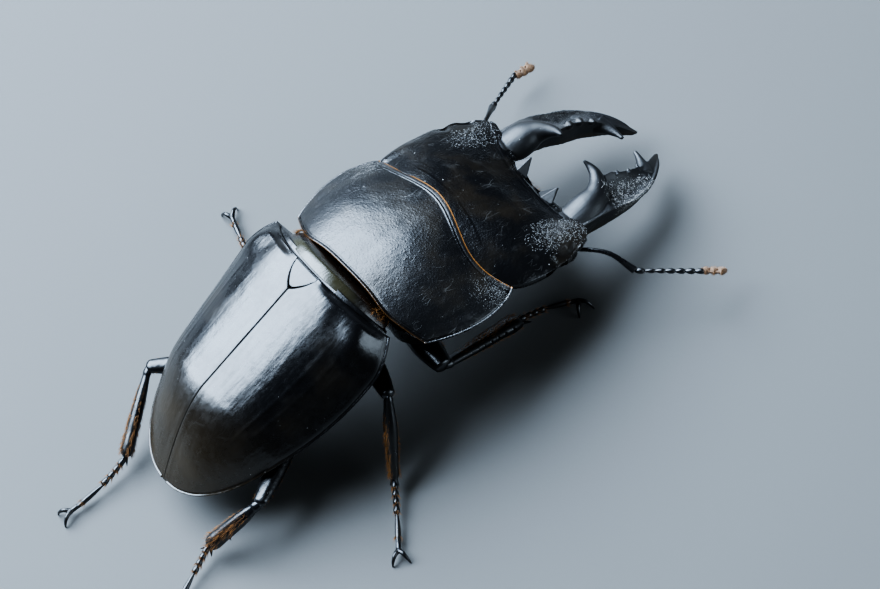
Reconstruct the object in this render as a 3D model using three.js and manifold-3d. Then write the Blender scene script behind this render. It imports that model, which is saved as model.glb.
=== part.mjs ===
// A large male stag beetle of the genus Dorcus, whole and life size, standing on its six feet.
// Millimetres, +Z up. The beetle faces -Y and its own left side is +X.
// Each body block has a frame of its own, in which places read as (forward, left, up).
import * as THREE from "three";
import { mergeVertices } from "three/addons/utils/BufferGeometryUtils.js";
import Module from "manifold-3d";

const wasm = await Module();
wasm.setup();

// ---------------------------------------------------------------- driving dimensions
const DEGREE = Math.PI / 180;
const FIT_GAP = 0.32; // clearance between neighbouring pieces of the body

// How the three blocks of the body are set: angles in degrees, pitch is nose up.
const STANCE = {
  centre: { x: -1.33, y: 1.31 }, // shift that puts the middle of the whole beetle over the origin
  hindbody: { up: 16.4, pitch: 20 },
  prothorax: { forward: 1.97, left: -0.7, up: -3.28, pitch: -17.7, yaw: 1.2, roll: 0.9 },
  head: { forward: 12.2, up: -1.96, pitch: -12.25, yaw: -5.7 },
};

const ELYTRA = {
  length: 30.3,
  halfWidth: 12.95,
  shoulderInset: 0.146, // share of the half width lost at the very front
  shoulderLength: 0.15, // share of the length over which it is won back
  apexDrop: 1.88, // how far the side rim sinks from shoulder to apex
  sideSag: 0.95, // extra dip of the rim along the flank
  ridge: 5.3, // height of the suture behind the scutellum
  ridgeFall: 0.6, // how far the ridge sinks evenly from base to apex
  declivity: 0.6, // share of the length at which the ridge starts to fall to the apex
  wallThickness: 1.0,
  rimThickness: 0.8,
  baseForward: 0.1,
  baseCurve: 0.5, // the base margin lies this much further back in the middle
  sutureGap: 0.3,
};
const SCUTELLUM = { halfWidth: 2.0, length: 3.3, thickness: 0.9 };
const PRONOTUM = {
  length: 12.2,
  rearHalfWidth: 12.15,
  frontHalfWidth: 12.5,
  sideBulge: 1.75,
  rearCrown: 3.95,
  frontCrown: 3.66,
  midCrown: 0.8,
  frontDrop: 1.96, // the rim sinks by this much from rear to front
  frontSkew: 0.8, // the front margin runs a little further forward on the left
  rimThickness: 0.8,
};
const PROSTERNUM = { depth: 4.2, widthShare: 0.9 };
const HEAD = {
  front: 11.2,
  frontCorner: 1.75, // the front corners reach this much further forward than the middle
  halfWidth: 12.85,
  widest: 4.5,
  crown: 3.2,
  frontFall: 3.6,
  depth: 4.9,
  rimThickness: 0.6,
  tuck: 1.6, // the neck is this much slimmer than the head where it enters the prothorax
  stations: [-3, -1.6, -0.6, 0.4, 2.4, 4.5, 6.6, 8.6, 10.1, 11.2],
};
const MESOTHORAX = {
  rear: 0.45,
  front: 4.6,
  halfWidth: 8.9,
  frontHalfWidth: 7.3,
  rearTop: 4.3,
  frontTop: -2.2,
  depth: 6.4,
};
const METATHORAX = { front: 0.2, rear: -11.6, inset: 1.3, belly: 6.0 };
const ABDOMEN = { front: -11.95, rear: -28.6, inset: 1.7, belly: 4.3, tailBelly: 1.0 };
const MANDIBLE = {
  steps: 11,
  sides: 9,
  toothWidth: 1.2,
  toothBreadth: 3.0,
  baseWidth: 2.65,
  endWidth: 1.35,
  height: 1.85,
};
const EYE = { forward: 9.6, left: 10.7, up: -1.75, long: 1.75, wide: 1.1, tall: 1.3 };

// Leg joints on the flat floor, in the floor's own (forward, left, up) frame.
const LEGS = {
  front_right: {
    hip: [4.6, -5.0, 8.3], knee: [4.7, -13.1, 7.7], ankle: [15.9, -11.2, 2.3],
    arch: [18.9, -10.6, 1.6], toe: [22.4, -12.3, 1.1], clawHeading: [-0.1, -1],
  },
  front_left: {
    hip: [4.8, 4.2, 8.3], knee: [5.6, 12.7, 7.7], ankle: [16.7, 12.0, 2.3],
    arch: [19.8, 12.3, 1.5], toe: [23.2, 14.0, 1.0], clawHeading: [0.7, 1],
  },
  middle_right: {
    hip: [-0.9, -4.6, 9.2], knee: [-3.3, -13.5, 11.2], ankle: [-7.6, -17.3, 2.2],
    arch: [-9.7, -20.4, 1.2], toe: [-12.1, -23.7, 0.9], clawHeading: [-0.55, -1],
  },
  middle_left: {
    hip: [-0.9, 4.6, 9.2], knee: [-3.0, 13.7, 11.2], ankle: [-2.2, 19.9, 2.2],
    arch: [-1.4, 23.1, 1.2], toe: [-0.4, 26.4, 0.9], clawHeading: [0.25, 1],
  },
  hind_right: {
    hip: [-11.2, -5.0, 5.5], knee: [-21.5, -12.0, 6.9], ankle: [-28.5, -9.4, 2.1],
    arch: [-31.0, -10.2, 1.2], toe: [-35.2, -12.3, 0.9], clawHeading: [-1, -0.45],
  },
  hind_left: {
    hip: [-11.2, 5.0, 5.6], knee: [-20.8, 12.1, 7.0], ankle: [-29.2, 7.2, 2.1],
    arch: [-32.6, 6.3, 1.2], toe: [-37.2, 6.5, 0.9], clawHeading: [-1, 0.12],
  },
};
const LEG_SIZE = {
  coxa: { front: 2.0, middle: 1.75, hind: 1.8 },
  femur: { front: 1.45, middle: 1.2, hind: 1.25 },
  tibia: { front: 1.05, middle: 0.72, hind: 0.72 },
  claw: 0.3,
};
// Feelers: elbow, end of the beaded funicle and tip of the club, in the floor's frame.
const ANTENNAE = {
  right: {
    bend: [27.4, -14.5, 8.2], elbow: [28.6, -17.4, 6.5],
    club: [34.4, -22.2, 5.4], tip: [36.0, -23.8, 5.2],
  },
  left: {
    bend: [29.6, 11.5, 7.9], elbow: [31.3, 13.5, 5.9],
    club: [37.1, 17.2, 3.4], tip: [39.1, 17.1, 3.7],
  },
};

// ---------------------------------------------------------------- finishes
const finish = (color, roughness, metalness = 0) =>
  new THREE.MeshStandardMaterial({ color, roughness, metalness });
const FINISH = {
  shell: () => finish(0x0b0b0c, 0.22),
  satin: () => finish(0x101113, 0.4),
  eye: () => finish(0x050505, 0.12),
  amber: () => finish(0xb98a5a, 0.6),
};

// ---------------------------------------------------------------- small helpers
const at = (forward, left, up) => new THREE.Vector3(left, -forward, up);
const mix = THREE.MathUtils.lerp;
const clamp01 = (x) => THREE.MathUtils.clamp(x, 0, 1);
const range = (count) => Array.from({ length: count }, (_, i) => i);

// One closed, outward-facing surface from points and triangles; collapsed triangles are left out.
function closedSurface(points, triangles) {
  const loose = new THREE.BufferGeometry().setFromPoints(triangles.flat().map((i) => points[i]));
  return tidySurface(loose);
}

function tidySurface(geometry) {
  const loose = geometry.index ? geometry.toNonIndexed() : geometry.clone();
  loose.deleteAttribute("normal");
  loose.deleteAttribute("uv");
  const merged = mergeVertices(loose, 1e-4);
  const position = merged.attributes.position;
  const corner = [0, 1, 2].map(() => new THREE.Vector3());
  const kept = [];
  let volume = 0;
  for (let i = 0; i < merged.index.count; i += 3) {
    const [a, b, c] = [0, 1, 2].map((k) => merged.index.getX(i + k));
    if (a === b || b === c || a === c) continue;
    [a, b, c].forEach((v, k) => corner[k].fromBufferAttribute(position, v));
    volume += corner[0].dot(corner[1].clone().cross(corner[2]));
    kept.push(a, b, c);
  }
  if (volume < 0) for (let i = 0; i < kept.length; i += 3) [kept[i], kept[i + 1]] = [kept[i + 1], kept[i]];
  merged.setIndex(kept);
  return merged;
}

// Skin over a row of rings with equal numbers of points, with a fan at both ends.
function loft(rings) {
  const sides = rings[0].length;
  const points = rings.flat();
  const triangles = [];
  for (let r = 0; r + 1 < rings.length; r++) {
    for (let k = 0; k < sides; k++) {
      const [a, b] = [r * sides + k, r * sides + ((k + 1) % sides)];
      triangles.push([a, b, a + sides], [b, b + sides, a + sides]);
    }
  }
  for (const [r, flip] of [[0, true], [rings.length - 1, false]]) {
    const middle = new THREE.Vector3();
    rings[r].forEach((p) => middle.addScaledVector(p, 1 / sides));
    const hub = points.push(middle) - 1;
    for (let k = 0; k < sides; k++) {
      const [a, b] = [r * sides + k, r * sides + ((k + 1) % sides)];
      triangles.push(flip ? [b, a, hub] : [a, b, hub]);
    }
  }
  return closedSurface(points, triangles);
}

// A plate between an upper and a lower surface, both functions of (across, along) from 0 to 1.
function plate(upper, lower, across, along) {
  const columns = across + 1;
  const sheet = (surface) =>
    range(along + 1).flatMap((j) => range(columns).map((i) => surface(i / across, j / along)));
  const points = [...sheet(upper), ...sheet(lower)];
  const below = columns * (along + 1);
  const triangles = [];
  const quad = (a, b, c, d) => triangles.push([a, b, c], [a, c, d]);
  for (let j = 0; j < along; j++) {
    for (let i = 0; i < across; i++) {
      const a = j * columns + i;
      quad(a, a + 1, a + columns + 1, a + columns);
      quad(below + a, below + a + columns, below + a + columns + 1, below + a + 1);
    }
  }
  const wall = (a, b) => quad(b, a, below + a, below + b);
  for (let i = 0; i < across; i++) {
    wall(i, i + 1);
    wall(along * columns + i + 1, along * columns + i);
  }
  for (let j = 0; j < along; j++) {
    wall((j + 1) * columns, j * columns);
    wall(j * columns + across, (j + 1) * columns + across);
  }
  return closedSurface(points, triangles);
}

// One ring of a body block: an arc over the top and one back underneath, with t from 1 to -1 across.
function bodyRing(half, forward, halfWidth, over, under) {
  const arc = (height) =>
    range(half + 1).map((i) => {
      const t = Math.cos((Math.PI * i) / half);
      return at(forward(t), halfWidth * t, height(t));
    });
  return [...arc(over), ...arc(under).reverse()];
}

// A tapering bar along a curve. size(s) gives [across, along up] radii, lobes pull the ring to 3 corners.
function sweep(curve, up, size, steps, sides, lobes = () => [0, 0]) {
  const rings = range(steps + 1).map((i) => {
    const s = i / steps;
    const centre = curve.getPoint(s);
    const heading = curve.getTangent(s).normalize();
    const sideways = new THREE.Vector3().crossVectors(heading, up).normalize();
    const upward = new THREE.Vector3().crossVectors(sideways, heading);
    const [across, tall] = size(s);
    const [strength, turn] = lobes(s);
    return range(sides).map((k) => {
      const angle = (2 * Math.PI * k) / sides;
      const reach = 1 + strength * Math.cos(3 * (angle - turn));
      return centre
        .clone()
        .addScaledVector(sideways, across * reach * Math.cos(angle))
        .addScaledVector(upward, tall * reach * Math.sin(angle));
    });
  });
  return loft(rings);
}

// A turned limb between two points. The profile is [share of length, radius] pairs between its ends.
function limb(start, end, profile, flatness = 1, face = at(0, 0, 1), sides = 8) {
  const axis = end.clone().sub(start);
  const length = axis.length();
  const outline = [
    new THREE.Vector2(0, 0),
    ...profile.map(([share, radius]) => new THREE.Vector2(radius, share * length)),
    new THREE.Vector2(0, length),
  ];
  const along = axis.normalize();
  const broad = new THREE.Vector3().crossVectors(along, face).normalize();
  const thin = new THREE.Vector3().crossVectors(broad, along);
  const turned = new THREE.LatheGeometry(outline, sides).scale(1, 1, flatness);
  turned.applyMatrix4(new THREE.Matrix4().makeBasis(broad, along, thin).setPosition(start));
  return tidySurface(turned);
}

function ball(centre, forward, wide, tall, detail = 10) {
  const sphere = new THREE.SphereGeometry(1, detail, Math.round(detail * 0.6));
  return tidySurface(sphere.scale(wide, forward, tall).translate(centre.x, centre.y, centre.z));
}

const spine = (root, tip, radius) => limb(root, tip, [[0, radius]], 1, at(0.31, 0.17, 0.93), 5);

// ---------------------------------------------------------------- joining and cutting
function solidOf(geometry) {
  const tidy = tidySurface(geometry);
  return new wasm.Manifold(
    new wasm.Mesh({
      numProp: 3,
      vertProperties: new Float32Array(tidy.attributes.position.array),
      triVerts: new Uint32Array(tidy.index.array),
    }),
  );
}

function surfaceOf(solid) {
  const mesh = solid.getMesh();
  const geometry = new THREE.BufferGeometry();
  geometry.setAttribute("position", new THREE.BufferAttribute(mesh.vertProperties, 3));
  geometry.setIndex(new THREE.BufferAttribute(mesh.triVerts, 1));
  return geometry;
}

const join = (...pieces) => surfaceOf(pieces.map(solidOf).reduce((whole, piece) => whole.add(piece)));
const cut = (body, ...tools) =>
  surfaceOf(tools.map(solidOf).reduce((whole, tool) => whole.subtract(tool), solidOf(body)));

// Keeps what stands above the floor, which leaves a small flat on every claw that reaches it.
function standOnFloor(geometry) {
  const span = 200;
  const room = new THREE.BoxGeometry(span, span, span).translate(0, 0, span / 2);
  return surfaceOf(solidOf(geometry).intersect(solidOf(room)));
}

// ---------------------------------------------------------------- frames of the body blocks
const beetle = new THREE.Group();
beetle.position.set(STANCE.centre.x, STANCE.centre.y, 0);

function block(parent, { forward = 0, left = 0, up = 0, pitch = 0, yaw = 0, roll = 0 }) {
  const group = new THREE.Group();
  group.position.copy(at(forward, left, up));
  group.rotation.set(-pitch * DEGREE, -roll * DEGREE, yaw * DEGREE, "ZXY");
  parent.add(group);
  return group;
}
const hindbody = block(beetle, STANCE.hindbody);
const prothorax = block(hindbody, STANCE.prothorax);
const headBlock = block(prothorax, STANCE.head);
beetle.updateMatrixWorld(true);

// The same shape, seen from another block's frame.
function carried(geometry, from, to) {
  const matrix = to.matrixWorld.clone().invert().multiply(from.matrixWorld);
  return geometry.clone().applyMatrix4(matrix);
}

function place(parent, name, geometry, material) {
  const mesh = new THREE.Mesh(geometry, material);
  mesh.name = name;
  parent.add(mesh);
}

// ---------------------------------------------------------------- hindbody shapes
// s runs from 0 at the base of the elytra to 1 at their apex.
const elytraShare = (forward) => clamp01((ELYTRA.baseForward - forward) / ELYTRA.length);

function elytraHalfWidth(s) {
  const outline = ELYTRA.halfWidth * (1 - s ** 2.4) ** 0.47;
  const shoulder = Math.max(0, 1 - s / ELYTRA.shoulderLength) ** 1.7;
  return outline * (1 - ELYTRA.shoulderInset * shoulder);
}

function elytraRim(s) {
  const sag = s < 0.62 ? Math.sin((Math.PI * s) / 0.62) : 0;
  return -ELYTRA.apexDrop * s - ELYTRA.sideSag * sag;
}

// Height of the suture: almost level, then a rounded fall to the apex.
function elytraRidge(s) {
  const { ridge, ridgeFall, declivity, apexDrop } = ELYTRA;
  const fall = Math.max(0, (s - declivity) / (1 - declivity)) ** 1.5;
  const baseDip = 0.35 * Math.max(0, 1 - s / 0.12) ** 2;
  return ridge - baseDip - ridgeFall * s - (ridge - ridgeFall + apexDrop) * fall;
}

const elytraCrown = (s) => elytraRidge(s) - elytraRim(s);
const arch = (t) => 1 - Math.abs(t) ** 2.9;

// The base margin of the elytra bends back towards the scutellum.
const baseCurve = (s, t) => ELYTRA.baseCurve * (1 - t * t) * (1 - s) ** 4;

// Half width of the scutellum, a rounded triangle with its point on the suture.
function scutellumEdge(forward) {
  const share = clamp01((ELYTRA.baseForward - forward) / SCUTELLUM.length);
  return share >= 1 ? 0 : SCUTELLUM.halfWidth * (1 - share ** 1.6) ** 0.8;
}

function elytron(side) {
  const row = (v) => 0.992 * (1 - (1 - v) ** 1.7);
  const spot = (p, v) => {
    const s = row(v);
    const station = ELYTRA.baseForward - s * ELYTRA.length;
    const inner = Math.max(ELYTRA.sutureGap / 2, scutellumEdge(station + FIT_GAP) + FIT_GAP);
    const halfWidth = elytraHalfWidth(s);
    const left = mix(inner, halfWidth, p ** 0.85);
    const t = left / halfWidth;
    return { s, forward: station - baseCurve(s, t), left, t };
  };
  const upper = (p, v) => {
    const { s, forward, left, t } = spot(p, v);
    return at(forward, side * left, elytraRim(s) + elytraCrown(s) * arch(t));
  };
  const lower = (p, v) => {
    const { s, forward, left, t } = spot(p, v);
    const { rimThickness, wallThickness } = ELYTRA;
    const thickness = mix(rimThickness, wallThickness, arch(t)) * mix(1, 0.6, s);
    return at(forward, side * left, elytraRim(s) + elytraCrown(s) * arch(t) - thickness);
  };
  return plate(upper, lower, 7, 13);
}

// Top of what lies beneath the elytra, in line with their inner face.
function underElytra(forward, left) {
  const s = elytraShare(forward);
  const t = left / elytraHalfWidth(s);
  return elytraRim(s) + elytraCrown(s) * arch(t) - ELYTRA.wallThickness - FIT_GAP;
}

function scutellum() {
  const surface = (drop) => (p, v) => {
    const forward = ELYTRA.baseForward - 0.985 * v * SCUTELLUM.length;
    const left = scutellumEdge(forward) * (2 * p - 1);
    const top = underElytra(forward, left) + ELYTRA.wallThickness + FIT_GAP - 0.05;
    return at(forward - ELYTRA.baseCurve * (1 - v), left, top - drop);
  };
  return plate(surface(0), surface(SCUTELLUM.thickness), 4, 6);
}

function trunkPiece({ front, rear, inset, belly }, bellyAt, keel) {
  const rows = 6;
  const rings = range(rows + 1).map((i) => {
    const forward = mix(front, rear, i / rows);
    const s = elytraShare(forward);
    const halfWidth = Math.max(0.6, elytraHalfWidth(s) - inset);
    const depth = belly * bellyAt(i / rows);
    const over = (t) => underElytra(forward, halfWidth * t);
    const under = (t) => Math.min(over(t) - 0.1, elytraRim(s) - 0.5) - depth * (1 - Math.abs(t) ** keel);
    return bodyRing(7, () => forward, halfWidth, over, under);
  });
  return loft(rings);
}
const metathorax = () => trunkPiece(METATHORAX, (v) => 1 - 0.12 * v * v, 2.2);
const abdomen = () => trunkPiece(ABDOMEN, (v) => mix(1, ABDOMEN.tailBelly / ABDOMEN.belly, v ** 2), 1.9);

// The waist that carries the scutellum's front and runs forward into the prothorax.
function mesothorax(grow = 0) {
  const rows = 6;
  const { rear, front, halfWidth, frontHalfWidth, rearTop, frontTop, depth } = MESOTHORAX;
  const rings = range(rows + 1).map((i) => {
    const v = i / rows;
    const forward = mix(rear, front, v) + (i === 0 ? -grow : grow);
    const top = mix(rearTop, frontTop, THREE.MathUtils.smoothstep(v, 0, 0.45)) + grow;
    const bottom = -depth - 0.9 * v - grow;
    const middle = mix(-1.1, -3.4, v);
    const dome = (t) => (1 - Math.abs(t) ** 2.2) ** 0.8;
    const over = (t) => mix(middle, top, dome(t)) + grow * 0.3;
    const under = (t) => mix(middle, bottom, dome(t)) - grow * 0.3;
    return bodyRing(7, () => forward, mix(halfWidth, frontHalfWidth, v) + grow, over, under);
  });
  return loft(rings);
}

// ---------------------------------------------------------------- prothorax shapes
// t runs from 1 at the left side to -1 at the right side, v from 0 at the rear to 1 at the front.
function pronotumRear(t) {
  const lobe = Math.exp(-(((Math.abs(t) - 0.62) / 0.2) ** 2));
  return -1.1 * (1 - Math.abs(t) ** 5) - 0.4 * lobe;
}

function pronotumFront(t) {
  const wave = 0.8 * Math.cos((Math.PI * Math.abs(t)) / 0.72);
  return PRONOTUM.length + 0.1 + wave + PRONOTUM.frontSkew * 2.6 * t * (1 - t * t);
}

function pronotumHalfWidth(v) {
  const bulge = Math.sin(Math.PI * v ** 1.15) ** 0.7;
  return mix(PRONOTUM.rearHalfWidth, PRONOTUM.frontHalfWidth, v) + PRONOTUM.sideBulge * bulge;
}

function pronotum() {
  const rows = 8;
  const rings = range(rows + 1).map((i) => {
    const v = i / rows;
    const rim = -PRONOTUM.frontDrop * v;
    const crown = mix(PRONOTUM.rearCrown, PRONOTUM.frontCrown, v) + PRONOTUM.midCrown * Math.sin(Math.PI * v);
    const forward = (t) => mix(pronotumRear(t), pronotumFront(t), v);
    const over = (t) => rim + crown * (1 - Math.abs(t) ** 2.1) ** 0.95;
    const under = () => rim - PRONOTUM.rimThickness;
    return bodyRing(8, forward, pronotumHalfWidth(Math.min(v, 0.999)), over, under);
  });
  return loft(rings);
}

function prosternum() {
  const rows = 5;
  const rings = range(rows + 1).map((i) => {
    const v = i / rows;
    const roof = -PRONOTUM.frontDrop * v - PRONOTUM.rimThickness - FIT_GAP;
    const forward = (t) => mix(pronotumRear(t) + 0.4, pronotumFront(t) - 0.8, v);
    const halfWidth = pronotumHalfWidth(Math.min(v, 0.999)) * PROSTERNUM.widthShare;
    const under = (t) => roof - 0.5 - PROSTERNUM.depth * (1 - Math.abs(t) ** 2) ** 0.9;
    return bodyRing(7, forward, halfWidth, () => roof, under);
  });
  return loft(rings);
}

// ---------------------------------------------------------------- head shapes
function headHalfWidth(forward) {
  const away = forward - HEAD.widest;
  const fall = away > 0 ? (away / 13.1) ** 2.71 : (-away / 13.8) ** 2.6;
  return HEAD.halfWidth * (1 - fall);
}

function headTop(forward) {
  return HEAD.crown - HEAD.frontFall * (Math.max(0, forward) / HEAD.front) ** 2.2;
}

// The front margin is hollow in the middle and runs forward to two rounded corners.
// The neck narrows along a line level with the front margin of the prothorax.
function headFrontEdge(t) {
  const corner = 0.88;
  const past = Math.max(0, Math.abs(t) - corner) / (1 - corner);
  return HEAD.frontCorner * Math.min(1, Math.abs(t) / corner) ** 3.2 - 0.8 * past ** 1.5;
}

function headCapsule(grow = 0) {
  const rear = HEAD.stations[0];
  const rings = HEAD.stations.map((station) => {
    const v = (station - rear) / (HEAD.front - rear);
    const tucked = 1 - THREE.MathUtils.smoothstep(station, -0.6, 0.4);
    const tuckedTop = 1 - THREE.MathUtils.smoothstep(station, -0.6, 1.6);
    const halfWidth = headHalfWidth(station) - HEAD.tuck * tucked + grow;
    const rim = -0.4 * v;
    const nearNeck = Math.max(0, 1 - Math.abs(station) / 5);
    const slant = -Math.tan(-STANCE.head.yaw * DEGREE) * halfWidth;
    const along = (t) => nearNeck * (0.7 * (1 - t * t) + slant * t) + v ** 4 * headFrontEdge(t);
    const forward = (t) => station + along(t) + (station === rear ? -grow : grow * v);
    const top = headTop(station) - 1.1 * HEAD.tuck * tuckedTop - rim - HEAD.rimThickness / 2 + grow;
    const over = (t) => rim + HEAD.rimThickness / 2 + top * (1 - Math.abs(t) ** 2.6) ** 0.9;
    const depth = (HEAD.depth - 1.3 * v ** 4) * mix(0.75, 1, Math.min(1, 3 * v)) + grow;
    const under = (t) => rim - HEAD.rimThickness / 2 - depth * (1 - Math.abs(t) ** 2.3) ** 0.75;
    return bodyRing(8, forward, halfWidth, over, under);
  });
  return loft(rings);
}

const eyeBall = (side, grow = 0) =>
  ball(at(EYE.forward, side * EYE.left, EYE.up), EYE.long + grow, EYE.wide + grow, EYE.tall + grow);

// Two upturned triangular horns side by side in front of the forehead, on one low bar.
function labrum() {
  const level = -1.6;
  const barEnd = (side) => at(12.05, side * 3.6, level - 0.1);
  const bar = limb(barEnd(-1), barEnd(1), [[0, 0.6], [1, 0.6]], 1, at(0, 0, 1), 6);
  const horns = [-1, 1].map((side) => {
    const root = [
      at(11.6, side * 0.7, level),
      at(12.1, side * 2.2, level - 0.3),
      at(11.6, side * 3.9, level + 0.1),
      at(11.5, side * 2.3, level + 0.7),
    ];
    const tip = at(13.5, side * 2.77, level + 1.5);
    const faces = [[0, 1, 2], [0, 2, 3], [1, 0, 4], [2, 1, 4], [3, 2, 4], [0, 3, 4]];
    return closedSurface([...root, tip], faces);
  });
  return join(bar, ...horns);
}

// A sickle with one upright tooth in the middle, a small one beyond it and a forked end.
function mandible(side) {
  const middle = [
    [11.2, 7.0, -1.5], [15.5, 7.1, -1.5], [20.0, 6.4, -2.25], [22.6, 5.65, -2.95],
    [25.1, 4.35, -3.5], [26.9, 3.1, -3.95], [28.0, 2.15, -4.2],
  ];
  const spot = ([forward, left, up]) => at(forward, side * left, up);
  const curve = new THREE.CatmullRomCurve3(middle.map(spot));
  const { baseWidth, endWidth, height, toothWidth, toothBreadth } = MANDIBLE;
  const taper = (s) => clamp01((1 - s) / 0.5) ** 0.75;
  const width = (s) => mix(endWidth, baseWidth, clamp01((0.62 - s) / 0.5)) * taper(s);
  const neck = (s) => 0.75 + 0.25 * clamp01(s / 0.15);
  const size = (s) => [0.12 + width(s), 0.12 + height * neck(s) * taper(s) ** 0.9];
  const outerCorner = side > 0 ? 55 * DEGREE : 5 * DEGREE;
  const lobes = (s) => [0.13 * (1 - s), outerCorner];
  const blade = sweep(curve, at(0, 0, 1), size, MANDIBLE.steps, MANDIBLE.sides, lobes);
  const toothCurve = new THREE.QuadraticBezierCurve3(
    spot([19.2, 6.0, -2.3]), spot([19.4, 3.6, -1.4]), spot([17.4, 2.6, 2.28]),
  );
  const toothSize = (s) => [toothWidth, toothBreadth].map((r) => 0.1 + r * (1 - s) ** 1.35);
  const tooth = sweep(toothCurve, at(1, 0, 0), toothSize, 5, 7);
  const up = at(0, 0, 1);
  const crestShape = [[0, 0.6], [0.5, 0.75], [1, 0.45]];
  const crest = limb(spot([19.5, 4.4, -1.5]), spot([24.6, 3.7, -2.7]), crestShape, 1, up, 6);
  const prongShape = [[0, 1.0], [0.5, 0.45], [0.95, 0.12]];
  const prong = limb(spot([24.5, 4.1, -3.1]), spot([25.4, 1.18, -2.9]), prongShape, 1, up, 6);
  return join(blade, tooth, crest, prong);
}

function mentum() {
  const face = (width, height) => (p, v) =>
    at(mix(6.4, 11.6, v), mix(-1, 1, p) * mix(width, width - 1, v), height(p) - 0.2 * (1 - v));
  return plate(face(4.6, () => -4.2), face(4.4, (p) => -5.2 + 0.6 * (2 * p - 1) ** 2), 4, 3);
}

function palp(side, root, reach) {
  const curve = new THREE.CatmullRomCurve3([
    at(root[0], side * root[1], root[2]),
    at(root[0] + 0.5 * reach, side * (root[1] + 0.35 * reach), root[2] - 0.05 * reach),
    at(root[0] + reach, side * (root[1] + 0.2 * reach), root[2] - 0.25 * reach),
  ]);
  return sweep(curve, at(0, 0, 1), (s) => [0.26 + 0.1 * s, 0.26 + 0.1 * s], 5, 5);
}

// ---------------------------------------------------------------- feelers, in the floor's frame
function scape(side) {
  const { bend, elbow } = ANTENNAE[side < 0 ? "right" : "left"];
  const root = carriedPoint(at(11.0, side * 10.0, -1.7), headBlock);
  const curve = new THREE.CatmullRomCurve3([root, at(...bend), at(...elbow)]);
  return sweep(curve, at(0, 0, 1), (s) => [0.3 + 0.16 * s ** 3, 0.3 + 0.16 * s ** 3], 7, 6);
}

// A point of another block, seen from the floor's frame.
function carriedPoint(point, from) {
  return beetle.worldToLocal(from.localToWorld(point.clone()));
}

function funicle(side) {
  const { elbow, club } = ANTENNAE[side < 0 ? "right" : "left"];
  const [start, end] = [at(...elbow), at(...club)];
  const elbowRoom = end.clone().sub(start).setLength(0.75);
  const count = 6;
  const profile = range(count).flatMap((i) => [
    [(i + 0.02) / count, 0.27],
    [(i + 0.68) / count, 0.37],
  ]);
  return limb(start.add(elbowRoom), end, profile, 1, at(0, 0, 1), 6);
}

// Three leaves, one behind the other, all standing out to the same side.
function antennaClub(side) {
  const { elbow, club, tip } = ANTENNAE[side < 0 ? "right" : "left"];
  const [start, end] = [at(...club), at(...tip)];
  const along = end.clone().sub(start).normalize();
  start.addScaledVector(at(...club).sub(at(...elbow)).normalize(), FIT_GAP + 0.05);
  const broad = new THREE.Vector3().crossVectors(along, at(0.25, -side * 0.55, -0.35)).normalize();
  const out = new THREE.Vector3().crossVectors(broad, along);
  const [stem, leaf, half] = [0.28, 0.62, 0.42];
  const stations = [
    [0, stem], [0.1, leaf], [0.3, leaf], [0.34, stem], [0.4, leaf + 0.1], [0.58, leaf + 0.1],
    [0.62, stem], [0.68, leaf + 0.15], [0.94, leaf], [1, stem],
  ];
  const rings = stations.map(([share, reach]) => {
    const centre = start.clone().lerp(end, share).addScaledVector(out, reach - stem);
    return range(6).map((k) => {
      const angle = (Math.PI * k) / 3;
      const spread = Math.min(reach, half) * Math.sin(angle);
      return centre.clone().addScaledVector(out, reach * Math.cos(angle)).addScaledVector(broad, spread);
    });
  });
  return loft(rings);
}

// ---------------------------------------------------------------- legs, in the floor's frame
const pairOf = (leg) => leg.split("_")[0];

function coxa(leg, grow = 0) {
  const size = LEG_SIZE.coxa[pairOf(leg)];
  const [forward, left, up] = LEGS[leg].hip;
  const centre = at(forward, left - Math.sign(left) * 1.9, up + 0.5);
  return ball(centre, size * 0.85 + grow, size * 1.1 + grow, size * 0.9 + grow, 8);
}

function femur(leg, grow = 0) {
  const { hip, knee } = LEGS[leg];
  const radius = LEG_SIZE.femur[pairOf(leg)];
  const profile = [[0, 0.45], [0.16, 0.8], [0.45, 1], [0.8, 0.86], [0.97, 0.5]];
  const outline = profile.map(([share, r]) => [share, r * radius + grow]);
  return limb(at(...hip), at(...knee), outline, 0.78, at(0, 0, 1), 8);
}

function tibia(leg) {
  const [knee, ankle] = [at(...LEGS[leg].knee), at(...LEGS[leg].ankle)];
  const along = ankle.clone().sub(knee).normalize();
  const start = knee.addScaledVector(along, 0.95);
  const side = Math.sign(LEGS[leg].knee[1]);
  const radius = LEG_SIZE.tibia[pairOf(leg)];
  const isFront = pairOf(leg) === "front";
  const outline = [[0, 0.5], [0.12, 0.62], [0.7, 0.95], [0.93, 1.1], [1, 0.7]];
  const profile = outline.map(([share, r]) => [share, r * radius]);
  const face = isFront ? at(0, -side * 0.4, 1) : at(1, 0, 0);
  const shaft = limb(start, ankle, profile, isFront ? 0.58 : 0.8, face, 8);
  const outward = new THREE.Vector3().crossVectors(along, face).normalize();
  if (outward.x * side < 0) outward.negate();
  const teeth = isFront ? [0.35, 0.5, 0.65, 0.8, 0.97] : [0.58, 0.97];
  const spines = teeth.map((share) => {
    const foot = start.clone().lerp(ankle, Math.min(share, 0.93));
    const reach = radius * (isFront ? 0.9 + 1.1 * share : 1.7);
    const tip = foot.clone().addScaledVector(outward, reach).addScaledVector(along, share > 0.9 ? 1.1 : 0.6);
    return spine(foot, tip, isFront ? 0.4 : 0.32);
  });
  return join(shaft, ...spines);
}

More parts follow.
